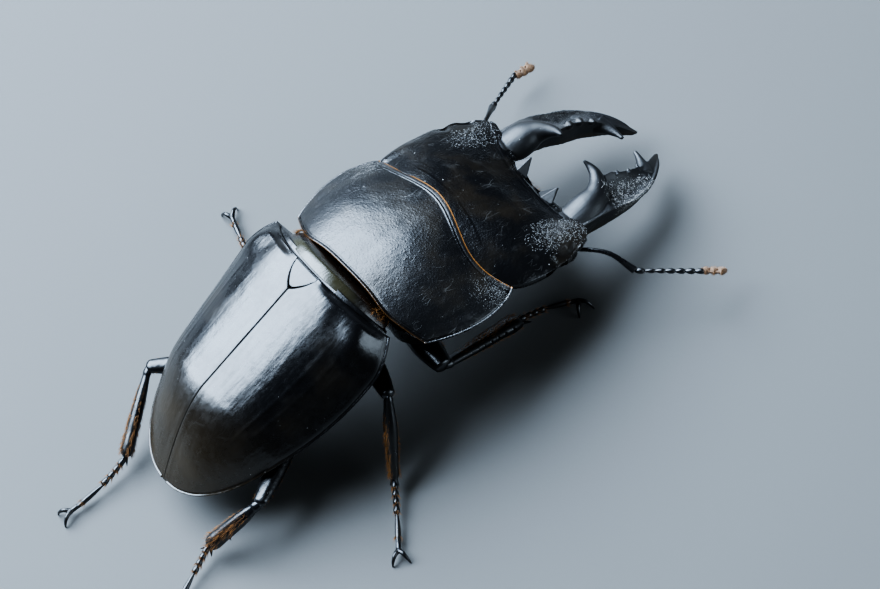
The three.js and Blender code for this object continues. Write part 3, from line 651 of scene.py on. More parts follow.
def belly_segments():
    """Five plates that overlap like tiles from front to rear."""
    joints, station = np.array(BELLY_JOINTS), belly_station

    def tile(v):
        """0 at the front of a plate, 1 at its free rear edge."""
        k = np.clip(np.searchsorted(joints, v, side="right") - 1, 0, 4)
        return (v - joints[k]) / (joints[k + 1] - joints[k])

    def half(v):
        return np.maximum(0.5, elytra_half(wing_share(station(v))) - 1.0)

    def over(v, t):
        return under_elytra(station(v), half(v) * t)

    def under(v, t):
        s = wing_share(station(v))
        depth = 4.3 * mix(1, 0.24, v**2)
        edge = np.minimum(over(v, t) - 0.1, elytra_rim(s) - 0.3)
        step = 0.22 * tile(v) ** 2 - 0.12 * bell(tile(v), 0.93, 0.06)
        return edge - depth * (1 - np.abs(t) ** 1.9) - step * (1 - t**8)

    rings = trunk(even(150), lambda v, t: station(v) - 0.5 * (1 - t * t), half, over, under, 150)
    return ring_shell(lifted(rings, 0.018 * ripple(rings, 1.3, 31)))


# ------------------------------------------------------------------ prothorax
def pronotum_rear(t):
    return -1.1 * (1 - np.abs(t) ** 5) - 0.4 * bell(np.abs(t), 0.62, 0.2)


def pronotum_level(v, t, belly=0.0):
    """Height of the shield over its rim plane: low at the sides, vaulted in the middle."""
    crown = mix(3.95, 3.66, v) + belly * np.sin(math.pi * v)
    return -1.96 * v + crown * np.maximum(1 - np.abs(t) ** 2.1, 0) ** 0.95


def pronotum_front(t, length=12.2):
    return length + 0.1 + 0.8 * np.cos(math.pi * np.abs(t) / 0.72) + 2.08 * t * (1 - t * t)


def pronotum_half(v):
    return mix(12.15, 12.5, v) + 1.75 * np.maximum(np.sin(math.pi * np.minimum(v, 0.999) ** 1.15), 0) ** 0.7


def shield(sizes):
    """The shield of the prothorax, with a rim, a ridge behind its front margin and a hollow underside."""
    length, rim_bead, wall = sizes.pronotum_length / MM, sizes.pronotum_bead / MM, sizes.wall / MM
    v = even(190, gather=0.35)[:, None]
    t = np.sin(even(240, -1, 1) * math.pi / 2)[None, :]
    forward = mix(pronotum_rear(t), pronotum_front(t, length), v)
    sheet = at(forward, pronotum_half(v) * t, pronotum_level(v, t, belly=0.8))
    side = np.minimum(nearness(sheet, sheet[:, 0]), nearness(sheet, sheet[:, -1]))
    rear, front = nearness(sheet, sheet[0]), nearness(sheet, sheet[-1])
    lift = bead(side, 0.09, 0.3 * rim_bead) + bead(rear, 0.15, 0.13) * smooth(side, 0.2, 1.0)
    ridge = 0.06 * bell(front, 0.8, 0.11) - 0.05 * bell(front, 0.62, 0.1)
    lift += (ridge + 0.02 * (1 - smooth(front, 0, 0.62))) * smooth(side, 0.3, 1.4)
    lift -= 0.16 * bell(np.abs(t), 0.86, 0.06) * bell(v, 0.45, 0.22)
    lift += 0.05 * bell(np.abs(t), 0.45, 0.16) * bell(v, 0.35, 0.2)
    lift -= 0.06 * bell(t, 0, 0.05) * bell(v, 0.55, 0.3)
    lift += 0.035 * ripple(sheet, 3.6, 41) + 0.012 * ripple(sheet, 1.3, 42)
    outward = upward_normals(sheet)
    top = sheet + outward * lift[..., None]
    inward = at(0 * side, -np.sign(sheet[..., 0]) * 0.35 * np.exp(-side / 0.5), 0 * side)
    edge = np.minimum(side, np.minimum(rear, front))
    below = sheet - outward * (wall * (0.35 + 0.65 * clamp01(edge / 1.2)))[..., None]
    masks = {
        "polish": clamp01(0.4 * bell(side, 0.1, 0.4) + bell(rear, 0.1, 0.34) + 0.7 * bell(front, 0.8, 0.12)),
        "groove": clamp01(0.8 * bell(side, 0.62, 0.2) + bell(rear, 0.5, 0.16) + bell(front, 0.5, 0.2)),
        # grain: granular chitin, which is also lightened as a painted sheen
        "grain": clamp01(bell(np.abs(t), 1, 0.3) * smooth(v, 0.35, 0.9)) * smooth(side, 0.3, 0.8),
        "amber": 0.3 * bell(rear, 0, 0.1) + 1.1 * bell(front, 0.02, 0.1),
    }
    return joined_sheets(top, below + inward), on_both_sheets(masks)


def throat_plate():
    """Underside of the prothorax with a process that runs back between the front legs."""

    def half(v):
        return pronotum_half(v) * 0.93

    def forward(v, t):
        return mix(pronotum_rear(t) + 0.4, pronotum_front(t) - 0.7, v)

    def over(v, t):
        return -1.96 * v - 1.0 + 0 * t

    def under(v, t):
        hollow = 0.9 * bell(np.abs(t), 0.42, 0.2) * bell(v, 0.3, 0.16)
        process = 0.7 * bell(t, 0, 0.07) * (1 - v)
        return over(v, t) - 0.5 - 4.2 * np.maximum(1 - t * t, 0) ** 0.9 + hollow - process

    rings = trunk(even(90), forward, half, over, under, 150)
    return ring_shell(lifted(rings, 0.025 * ripple(rings, 1.4, 51)))


# ------------------------------------------------------------------ head
def head_half(forward, half=12.85):
    away = forward - 4.5
    ahead, behind = np.maximum(away, 0) / 13.1, np.maximum(-away, 0) / 13.8
    return half * (1 - ahead**2.71 - behind**2.6)


def head_front_edge(t):
    past = np.maximum(0, np.abs(t) - 0.88) / 0.12
    return 1.75 * np.minimum(1, np.abs(t) / 0.88) ** 3.2 - 0.8 * past**1.5


# where the shield's front margin crosses the head: share across, then forward
NECKLINE = (
    (-1, -0.1), (-0.88, -1.35), (-0.68, -1.86), (-0.45, -1.62), (-0.21, -1.03), (0.01, -0.52),
    (0.22, -0.39), (0.42, -0.57), (0.64, -0.77), (0.84, -0.64), (1, -0.2),
)


def head_rings(sizes):
    front, widest = sizes.head_length / MM, sizes.head_half_width / MM
    station = even(160, -3, front, 0.35)[:, None]
    v = (station + 3) / (front + 3)
    rim = -0.4 * v
    near_neck = np.maximum(0, 1 - np.abs(station) / 5)
    t = np.cos(np.linspace(0, math.pi, 190))[None, :]
    behind = spline(t, NECKLINE) - 0.12
    tucked = 1 - smooth(station, behind - 1.0, behind)
    half = head_half(station, widest) - 1.5 * tucked
    slant = -math.tan(math.radians(5.7)) * half
    forward = station + near_neck * (0.7 * (1 - t * t) + slant * t) + v**4 * head_front_edge(t)
    top = 3.2 - 3.6 * (np.maximum(0, station) / front) ** 2.2 - 1.2 * tucked - rim - 0.3
    over = rim + 0.3 + top * np.maximum(1 - np.abs(t) ** 2.6, 0) ** 0.9
    depth = (4.9 - 1.3 * v**4) * mix(0.75, 1, np.minimum(1, 3 * v))
    under = rim - 0.3 - depth * np.maximum(1 - np.abs(t) ** 2.3, 0) ** 0.75
    over_ring, under_ring = at(forward, half * t, over), at(forward, half * t, under)[:, -2:0:-1]
    return np.concatenate([over_ring, under_ring], axis=1)


EYE_SPOTS = {side: (9.4, side * 10.95, -1.2) for side in (-1, 1)}


def from_socket(f, l):
    """Distance from the middle of the eye socket; 1 is its rim."""
    return np.sqrt(((f - 9.35) / 1.25) ** 2 + ((l - 11.25) / 0.8) ** 2)


def patch(f, l, middle, spread):
    """1 at the middle of a soft round patch, falling off with its spreads forward and sideways."""
    return np.exp(-(((f - middle[0]) / spread[0]) ** 2 + ((l - middle[1]) / spread[1]) ** 2))


def head_shell(sizes):
    """The head capsule with eye sockets, temple swellings, the frontal furrow and the front rim."""
    rings = head_rings(sizes)
    f, l, u = folded(rings)
    upper = smooth(ring_normals(rings)[..., 2], -0.1, 0.25)
    away = from_socket(f, l)
    socket = np.exp(-(away**4))
    near = np.exp(-((np.maximum(0, f + 0.6) / 2.8) ** 2)) * (1 - smooth(l, 10.8, 12.2)) * upper
    lift = near * (0.57 * bell(rings[..., 0], 0.4, 4.6) - 0.26 * bell(rings[..., 0], 10.5, 2.6))
    lift -= 0.85 * socket * (1 - smooth(u, -0.25, 0.3))
    rim_round_eye = np.exp(-(((away - 1.45) / 0.3) ** 2)) * smooth(l, 10.6, 11.6) * smooth(u, -1.5, -0.3)
    lift += 0.08 * rim_round_eye * (1 - smooth(u, -0.3, 0.2))
    lift += 0.42 * patch(f, l, (10.6, 9.0), (1.9, 1.5)) * upper
    lift -= 0.35 * bell(f, 7.3, 0.75) * smooth(l, 11.0, 12.6)
    line = 1.28 - 0.02 * l**1.95
    crease = bell(f, line, 0.1) * smooth(l, 0.3, 1.2) * (1 - smooth(l, 6.2, 7.4)) * upper
    lift += 0.014 * crease - 0.008 * bell(f, line + 0.3, 0.16) * (1 - smooth(l, 6.2, 7.4)) * upper
    lift -= 0.22 * patch(f, l, (8.6, 0), (2.2, 3.6)) * upper
    lift += 0.12 * patch(f, l, (6.0, 5.2), (2.0, 1.6)) * upper
    front = 11.2 + head_front_edge(np.clip(l / 11.7, 0, 1)) - f
    lift += 0.06 * bell(front, 0.15, 0.14) * upper - 0.07 * bell(front, 0.55, 0.18) * upper
    lift -= 0.25 * bell(l, 3.2, 0.14) * smooth(-u, 3.2, 4.6)
    lift += 0.03 * ripple(rings, 2.6, 61) + 0.012 * ripple(rings, 0.8, 62)
    rings = lifted(rings, lift)
    masks = {
        # grain: granular chitin round the eyes, which is also lightened as a painted sheen
        "grain": clamp01(1.3 * patch(f, l, (10.2, 9.0), (3.6, 2.3))) * upper * (1 - socket),
        "polish": clamp01(0.6 * bell(front, 0.12, 0.2) + 0.3 * crease + 0.5 * rim_round_eye) * upper,
        "groove": clamp01(socket + bell(front, 0.5, 0.2) * 0.7),
    }
    closed = {k: np.concatenate([m.ravel(), [m[0].mean(), m[-1].mean()]]) for k, m in masks.items()}
    return ring_shell(rings), closed


def blade(side):
    """The flat outer half of a jaw: a loft between its crest, outer ridge and lower edges."""
    stations = [
        # forward, then left and up of the crest, the outer ridge and the two lower edges
        (9.8, (5.2, -1.0), (8.8, -1.1), (8.7, -3.1), (5.6, -3.3)),
        (13.5, (5.3, -0.5), (8.9, -0.6), (8.7, -2.9), (5.6, -3.1)),
        (17.2, (4.9, -0.35), (8.7, -0.6), (8.5, -2.9), (5.4, -3.2)),
        (19.2, (4.3, 0.25), (8.5, -1.15), (8.1, -3.2), (5.0, -3.5)),
        (20.3, (4.4, 0.05), (8.3, -1.5), (7.8, -3.4), (4.9, -3.65)),
        (21.4, (4.55, -0.5), (8.0, -1.85), (7.4, -3.6), (4.8, -3.8)),
        (23.2, (4.3, -1.35), (7.2, -2.3), (6.5, -3.9), (4.3, -4.1)),
        (24.8, (3.9, -2.25), (6.15, -2.6), (5.4, -4.25), (3.8, -4.35)),
        (26.5, (2.9, -3.15), (4.5, -3.1), (3.9, -4.45), (2.8, -4.5)),
        (27.7, (2.1, -3.9), (2.9, -3.85), (2.7, -4.5), (2.1, -4.5)),
        (28.1, (2.0, -4.15), (2.25, -4.15), (2.2, -4.35), (2.0, -4.35)),
    ]
    forward = np.array([row[0] for row in stations])
    place = even(90, forward[0], forward[-1])
    corners = [
        [spline(place, np.stack([forward, [row[corner][k] for row in stations]], 1)) for k in (0, 1)]
        for corner in (1, 2, 3, 4)
    ]
    share = np.linspace(0, 1, 12, endpoint=False)[:, None]
    basin = [(9.8, 0), (17.2, 0), (18.3, 0.6), (19.4, 1.15), (20.6, 1.2)]
    basin += [(21.8, 0.85), (23.2, 0.3), (24.8, 0), (28.1, 0)]
    hollow = np.array([np.maximum(spline(place, basin), 0), 0 * place, 0 * place, 0.1 * bell(place, 22, 4)])
    sides = []
    for c in range(4):
        (l0, u0), (l1, u1) = corners[c], corners[(c + 1) % 4]
        dip = hollow[c] * (5.2 * share**1.4 * (1 - share) ** 1.1 if c == 0 else 4 * share * (1 - share))
        sign = -1 if c == 0 else 0
        inward = 1 if c == 3 else 0
        sides.append(at(place, side * (mix(l0, l1, share) + dip * inward), mix(u0, u1, share) + dip * sign))
    return ring_shell(np.concatenate(sides).transpose(1, 0, 2))


def jaw(side, sizes):
    """A round base that sweeps up into one big tooth, and a forked blade beyond it."""

    def spot(f, l, u):
        return at(f, side * l, u)

    parts = [blade(side)]
    horn = [(10.4, 6.9, -2.5, 1.6), (13.4, 6.8, -1.75, 2.0), (15.3, 6.5, -1.05, 1.9)]
    if side > 0:
        horn += [(16.6, 5.95, -0.45, 1.38), (17.5, 5.0, 0.05, 0.9)]
        horn += [(17.95, 3.95, 0.45, 0.52), (18.0, 3.0, 0.85, 0.12)]
    else:
        horn += [(16.85, 5.8, -0.5, 1.42), (17.8, 4.6, -0.1, 1.0), (18.15, 3.5, 0.3, 0.68)]
        horn += [(18.0, 2.6, 0.75, 0.4), (17.6, 1.9, 1.35, 0.11)]
    horn_path = through([spot(*p[:3]) for p in horn], 80)
    length = np.linalg.norm(np.diff([p[:3] for p in horn], axis=0), axis=1).cumsum()
    places = np.concatenate([[0], length]) / length[-1]
    x = np.linspace(0, 1, 80)
    girth = spline(x, np.stack([places, [p[3] for p in horn]], 1)) * rounded(x, 0.02)
    parts.append(rod(horn_path, girth * mix(1.12, 1, x), girth * mix(0.88, 1, x), up=at(0.3, 0, 1), sides=48))
    ridge = ((19.6, 8.4, -1.35), (21.4, 8.0, -1.85), (23.2, 7.2, -2.3))
    ridge += ((24.8, 6.1, -2.6), (26.5, 4.4, -3.15), (27.6, 3.0, -3.8))
    end = rounded(np.linspace(0, 1, 60), 0.3)
    parts.append(rod(through([spot(*p) for p in ridge], 60), 0.22 * end, 0.2 * end, sides=20))
    knobs = ((20.0, 4.4, 0.1, 0.3, 0.62), (21.6, 4.55, -0.45, 0.3, 0.6), (23.2, 4.3, -1.2, 0.34, 0.5))
    notches = ((20.6, 4.45, -0.1, 0.12, 0.4), (22.2, 4.5, -0.8, 0.14, 0.38), (23.8, 4.25, -1.75, 0.5, 0.34))
    for f, l, u, length, wide in knobs if side > 0 else notches:
        parts.append(spike(spot(f, l + 0.25, u - 0.35), spot(f, l - length, u + 0.5 * length), wide))
    prong = bezier(spot(24.3, 4.9, -3.1), spot(25.3, 3.3, -3.1), spot(25.4, 1.15, -2.82), 30)
    x = np.linspace(0, 1, 30)
    girth = (0.22 + 1.0 * (1 - x) ** 1.25) * rounded(x, 0.03)
    parts.append(rod(prong, girth, girth * 0.9, sides=24))
    parts.append(ball((11.6, side * 7.0, -1.9), (1.6, 2.35, 1.75), 40))
    points, faces = fused(parts, sizes.jaw_voxel / MM, 5)
    f, l, u = folded(points)
    blade_top = smooth(f, 18.4, 19.6) * smooth(l, 4.7, 5.4) * (1 - smooth(f, 24.0, 25.2))
    heel = 0.35 * smooth(f, 12, 14) * smooth(l, 7.4, 8.4)
    ridge_level = mix(-0.6, -2.4, clamp01((f - 17) / 7))
    masks = {
        "apex": smooth(-1.9 - 0.12 * (f - 12) - u, -0.3, 0.7),
        "polish": bell(u, ridge_level, 0.3) * smooth(l, 6, 7.5) * smooth(f, 20, 23),
        # grain is weaker on the left jaw, whose blade lies dark: its painted sheen is dimmer there, and its
        # bumps shallower
        "grain": clamp01((1 if side < 0 else 0.4) * blade_top + heel) * smooth(u, -2.7, -1.9),
    }
    return (points, faces), masks


def lip(sizes):
    """Two upturned three-sided horns side by side on a low bar in front of the forehead."""
    bar = through([at(11.7, -3.9, -2.4), at(11.8, 0, -2.5), at(11.7, 3.9, -2.4)], 40)
    parts = [rod(bar, 0.55, 0.6)]
    root = ((10.9, 0.5, -1.9), (12.2, 2.1, -2.5), (10.9, 4.7, -1.5), (10.9, 2.4, -0.75))
    tip = ((13.55, 2.7, -0.15), (13.6, 2.9, -0.15), (13.5, 2.8, 0.05))
    faces = [[0, 1, 2], [0, 2, 3], [1, 0, 4], [1, 4, 5, 2], [2, 5, 6, 3], [0, 3, 6, 4], [4, 6, 5]]
    for side in (-1, 1):
        parts.append((np.array([at(f, side * l, u) for f, l, u in root + tip]), faces))
    return fused(parts, sizes.jaw_voxel / MM * 0.6, 3)


def chin_plate():
    """The plate below the mouth."""
    v, p = np.meshgrid(even(50), even(70, -1, 1), indexing="ij")
    wide = 4.6 - v
    corner = 0.9 * np.abs(p) ** 6
    height = -5.25 - 0.2 * (1 - v) + 0.65 * p**2
    height += 0.12 * bell(np.abs(p), 0.5, 0.12) - 0.18 * bell(v, 0.96, 0.05)
    sheet = at(mix(6.4, 11.7, v) - corner * v, p * wide, height)
    return joined_sheets(sheet, sheet + at(0 * v, 0 * v, 1.0 + 0 * v))


def mouth_feeler(side, root, reach):
    """A palp of four joints."""
    f, l, u = root
    knee = (f + 0.5 * reach, l + 0.35 * reach, u - 0.05 * reach)
    tip = (f + 0.85 * reach, l + 0.2 * reach, u - 0.5 * reach)
    path = through([at(f, side * l, u) for f, l, u in ((f - 0.5, l, u), knee, tip)], 70)
    x = np.linspace(0, 1, 70)
    joint = (x * 4) % 1
    girth = (0.2 + 0.14 * np.sin(math.pi * joint) ** 0.6 + 0.07 * x) * rounded(x, 0.05)
    return rod(path, girth, girth, sides=20)


def feeler_stem(side):
    """The long first joint of a feeler, thin at the root and swollen at the elbow."""
    lie = FEELERS["left" if side > 0 else "right"]
    root = seen_from(at(10.4, side * 10.0, -1.75)[None], HEAD, FLOOR)[0]
    path = through([root, at(*lie["bend"]), at(*lie["elbow"])], 90)
    x = np.linspace(0, 1, 90)
    girth = (0.24 + 0.06 * bell(x, 0.04, 0.04) + 0.24 * x**3.2) * rounded(x, 0.02)
    return rod(path, girth, girth, sides=24)


def club_leaves(side):
    """Three velvety leaves, one behind the other, standing out to the same side."""
    lie = FEELERS["left" if side > 0 else "right"]
    start, end = at(*lie["club"]), at(*lie["tip"])
    along = unit(end - start)
    broad = unit(np.cross(along, at(0.25, -side * 0.55, -0.35)))
    out = np.cross(broad, along)
    span = np.linalg.norm(end - start) + 0.35
    parts = []
    for k, reach in enumerate((0.52, 0.62, 0.68)):
        foot = start + along * span * (0.02 + 0.33 * k)
        x = np.linspace(0, 1, 16)
        bow = (reach - 0.3) * (0.4 + 0.6 * np.sin(math.pi * x))
        path = foot + along * (span * 0.31 * x)[:, None] + out * bow[:, None]
        swell = (0.45 + 0.55 * np.sin(math.pi * clamp01(x * 0.9 + 0.06)) ** 0.7) * rounded(x, 0.12)
        parts.append(rod(path, reach * swell, 0.44 * swell, up=broad, sides=22))
    stem = through([start - along * 0.2, start + along * span * 0.5, end], 20)
    parts.append(rod(stem, 0.17 * rounded(np.linspace(0, 1, 20), 0.1), 0.17, sides=12))
    return merged(parts)


# ------------------------------------------------------------------ legs, in the floor's frame
def pair_of(leg):
    return leg.split("_")[0]


def hip(leg):
    """The ball that a leg turns on, half sunk in the body."""
    girth = LEG_GIRTH["coxa"][pair_of(leg)]
    forward, left, up = LEGS[leg]["hip"]
    inward = left - math.copysign(1.9, left)
    points, faces = ball((forward, inward, up + 0.5), (girth * 0.85, girth * 1.15, girth * 0.92), 44)
    return points + 0.03 * ripple(points, 1.2, 71)[:, None], faces


def turned(start, end, stops, flatness, face, rows=70, sides=36, groove=0.0):
    """A limb with a smooth outline of (share, radius) stops and a groove along its thin side."""
    x = even(rows, gather=0.5)
    path = mix(np.asarray(start, float), np.asarray(end, float), x[:, None])
    girth = spline(x, stops) * rounded(x, 0.045)

    def section(angle, along):
        return 1 - groove * bell(np.cos(angle), 0, 0.25) * np.sin(math.pi * along)

    return tube(path, girth, girth * flatness, up=face, sides=sides, reach=section)


def thigh(leg):
    """Rings of a femur, thickest in its middle."""
    start, knee = at(*LEGS[leg]["hip"]), at(*LEGS[leg]["knee"])
    girth = LEG_GIRTH["femur"][pair_of(leg)]
    along = unit(knee - start)
    stops = [(0, 0.5), (0.16, 0.8), (0.45, 1.02), (0.8, 0.86), (0.93, 0.72), (1, 0.62)]
    stops = [(x, r * girth) for x, r in stops]
    rings = turned(start - along * 0.5, knee + along * 0.35, stops, 0.8, (0, 0, 1), groove=0.05)
    return lifted(rings, 0.015 * ripple(rings, 0.9, 81))


def shin_lie(leg):
    """Start, end, direction, flat face and outward side of a tibia."""
    knee, ankle = at(*LEGS[leg]["knee"]), at(*LEGS[leg]["ankle"])
    along = unit(ankle - knee)
    side = math.copysign(1, LEGS[leg]["knee"][1])
    face = at(0, -side * 0.4, 1) if pair_of(leg) == "front" else at(1, 0, 0)
    outward = unit(np.cross(along, face))
    if outward[0] * side < 0:
        outward = -outward
    return knee + along * 0.95, ankle, along, face, outward


SHIN_OUTLINE = {
    "front": ((0, 0.66), (0.12, 0.72), (0.4, 0.92), (0.7, 1.02), (0.93, 1.12), (1, 0.95)),
    "middle": ((0, 0.6), (0.12, 0.8), (0.35, 1.08), (0.6, 0.98), (0.85, 0.8), (1, 0.72)),
    "hind": ((0, 0.6), (0.1, 0.68), (0.3, 0.95), (0.7, 1.08), (0.93, 1.05), (1, 0.8)),
}


def shin(leg, sizes):
    """A tibia with its knee, the teeth along its outer edge and two spurs at its end."""
    start, ankle, along, face, outward = shin_lie(leg)
    girth = LEG_GIRTH["tibia"][pair_of(leg)]
    in_front = pair_of(leg) == "front"
    stops = [(x, r * girth) for x, r in SHIN_OUTLINE[pair_of(leg)]]
    shaft = turned(start - along * 0.7, ankle, stops, 0.7 if in_front else 0.8, face, groove=0.1)
    knee = [(0, 0.5 * girth), (0.5, 0.72 * girth), (1, 0.4 * girth)]
    knob = turned(start - along * 0.95, start + along * 0.7, knee, 0.8, face)
    parts = [ring_shell(shaft), ring_shell(knob)]
    if in_front:
        teeth = [(0.2, 0.5), (0.29, 0.6), (0.38, 0.75), (0.48, 0.9)]
        teeth += [(0.58, 1.0), (0.68, 1.15), (0.79, 1.35), (0.95, 1.6)]
    else:
        teeth = [(0.58, 1.25), (0.78, 0.6), (0.97, 1.25)]
    for place, reach in teeth:
        foot = mix(start, ankle, min(place, 0.95))
        tip = foot + outward * girth * (0.55 + 0.72 * reach) + along * (1.0 if place > 0.9 else 0.55)
        parts.append(spike(foot - outward * 0.1, tip, 0.42 if in_front else 0.3, 12, 0.12, face))
    for turn in (-1, 1):
        spur = ankle + along * 1.0 - outward * 0.35 + unit(np.cross(along, outward)) * turn * 0.45
        parts.append(spike(ankle - along * 0.4, spur, 0.28, 10))
    return fused(parts, sizes.leg_voxel / MM, 3)


def foot_path(leg, count=120):
    lie = LEGS[leg]
    return bezier(at(*lie["ankle"]), at(*lie["arch"]), at(*lie["toe"]), count)


def claw_pair(leg, sizes):
    """Two hooked claws that part from the end of a foot and stand on the floor."""
    lie = LEGS[leg]
    toe, arch = at(*lie["toe"]), at(*lie["arch"])
    heading = unit(at(lie["claw"][0], lie["claw"][1], 0))
    root = toe + unit(toe - arch) * 0.62
    stem = mix(toe - unit(toe - arch) * 0.3, root, np.linspace(0, 1, 12)[:, None])
    parts = [rod(stem, 0.3, 0.3, sides=16)]
    for side in (-1, 1):
        c, s = math.cos(side * math.radians(34)), math.sin(side * math.radians(34))
        out = np.array([heading[0] * c - heading[1] * s, heading[0] * s + heading[1] * c, 0])
        stops = [root]
        for reach, up in ((0.9, root[2] + 0.2), (1.55, 0.72 * root[2]), (1.85, 0.06)):
            stops.append(np.array([root[0] + out[0] * reach, root[1] + out[1] * reach, up]))
        path = through(stops, 30)
        girth = 0.09 + 0.24 * (1 - np.linspace(0, 1, 30)) ** 0.8
        parts.append(rod(path, girth, girth, sides=16))
    points, faces = fused(parts, sizes.leg_voxel / MM * 0.75, 2)
    points[:, 2] = np.maximum(points[:, 2], 0)
    return points, faces


# ------------------------------------------------------------------ finishes
def plug(tree, socket, value):
    if isinstance(value, Value):
        tree.links.new(value.socket, socket)
    elif isinstance(value, bpy.types.NodeSocket):
        tree.links.new(value, socket)
    elif hasattr(value, "__len__") and len(value) == 3 and socket.type == "RGBA":
        socket.default_value = (*value, 1)
    else:
        socket.default_value = value


class Value:
    """A number or colour flowing between nodes, written in ordinary sums and products."""

    def __init__(self, tree, socket):
        self.tree, self.socket = tree, socket

    def node(self, kind, out=0, settings=(), **inputs):
        """Any other node; settings come first, then the inputs by name or by _index."""
        made = self.tree.nodes.new(kind)
        for name, value in dict(settings).items():
            setattr(made, name, value)
        for name, value in inputs.items():
            key = int(name[1:]) if name.startswith("_") else name.replace("_", " ")
            plug(self.tree, made.inputs[key], value)
        return Value(self.tree, made.outputs[out])

    def sum(self, operation, other):
        return self.node("ShaderNodeMath", 0, dict(operation=operation), _0=self, _1=other)

    def __add__(self, other):
        return self.sum("ADD", other)

    def __sub__(self, other):
        return self.sum("SUBTRACT", other)

    def __mul__(self, other):
        return self.sum("MULTIPLY", other)

    def __rsub__(self, other):
        return self.node("ShaderNodeMath", 0, dict(operation="SUBTRACT"), _0=other, _1=self)

    __radd__, __rmul__ = __add__, __mul__

    def capped(self):
        return self.sum("MINIMUM", 1.0)

    def between(self, low, high):
        """0 at low, 1 at high, eased."""
        settings = dict(interpolation_type="SMOOTHSTEP")
        return self.node("ShaderNodeMapRange", 0, settings, Value=self, From_Min=low, From_Max=high)

    def colours(self, low, high):
        """From one colour to another as this value goes from 0 to 1."""
        return self.node("ShaderNodeMix", 2, dict(data_type="RGBA"), _0=self, _6=low, _7=high)

    def noise(self, size, detail=3, out=0):
        """Cloudy pattern with features of about size millimetres; self is a place in millimetres."""
        return self.node("ShaderNodeTexNoise", out, Vector=self, Scale=1 / size, Detail=detail)

    def cells(self, size, feature="F1", out=0, jitter=1.0):
        """Distance inside loose cells of about size millimetres, or another output of that pattern."""
        settings = dict(feature=feature)
        return self.node(
            "ShaderNodeTexVoronoi", out, settings, Vector=self, Scale=1 / size, Randomness=jitter
        )

    def scaled(self, x, y, z):
        return self.node("ShaderNodeVectorMath", 0, dict(operation="MULTIPLY"), _0=self, _1=(x, y, z))


def blank_finish(name):
    """A new material, its shader node and the place on the piece in millimetres."""
    material = bpy.data.materials.new(name)
    material.use_nodes = True
    tree = material.node_tree
    shader = tree.nodes["Principled BSDF"]
    place = Value(tree, tree.nodes.new("ShaderNodeTexCoord").outputs["Object"]).scaled(1000, 1000, 1000)
    return material, shader, place


def dress(place, shader, colour, roughness, height=None, depth=0.0, **constants):
    """Join the varying values to the shader; depth is in metres."""
    plug(place.tree, shader.inputs["Base Color"], colour)
    plug(place.tree, shader.inputs["Roughness"], roughness)
    for name, value in constants.items():
        shader.inputs[name.replace("_", " ")].default_value = value
    if height is not None:
        bump = place.node("ShaderNodeBump", Strength=1.0, Distance=depth, Height=height)
        plug(place.tree, shader.inputs["Normal"], bump)


def mask(place, name):
    """A value that the piece carries for each of its points."""
    return place.node("ShaderNodeAttribute", "Fac", dict(attribute_name=name))


def specks(place, size, share_of_cells, radius):
    """Small dots in a few of the cells of a loose pattern."""
    dots = 1 - place.cells(size).between(radius * 0.6, radius)
    draw = place.node("ShaderNodeSeparateColor", Color=place.cells(size, out="Color"))
    return dots * draw.sum("LESS_THAN", share_of_cells)


def scratches(place, size, seed):
    """Fine lines that wander over the surface."""
    drift = place.noise(size * 2.5, 2, 1).scaled(size * 1.5, size * 1.5, size * 1.5)
    bent = place.node("ShaderNodeVectorMath", 0, dict(operation="ADD"), _0=place, _1=drift)
    lines = bent.scaled(1 + 0.3 * seed, 0.22, 0.35).cells(size, "DISTANCE_TO_EDGE")
    return (1 - lines.between(0.0, 0.018)) * place.noise(size * 1.7, 1).between(0.56, 0.66)


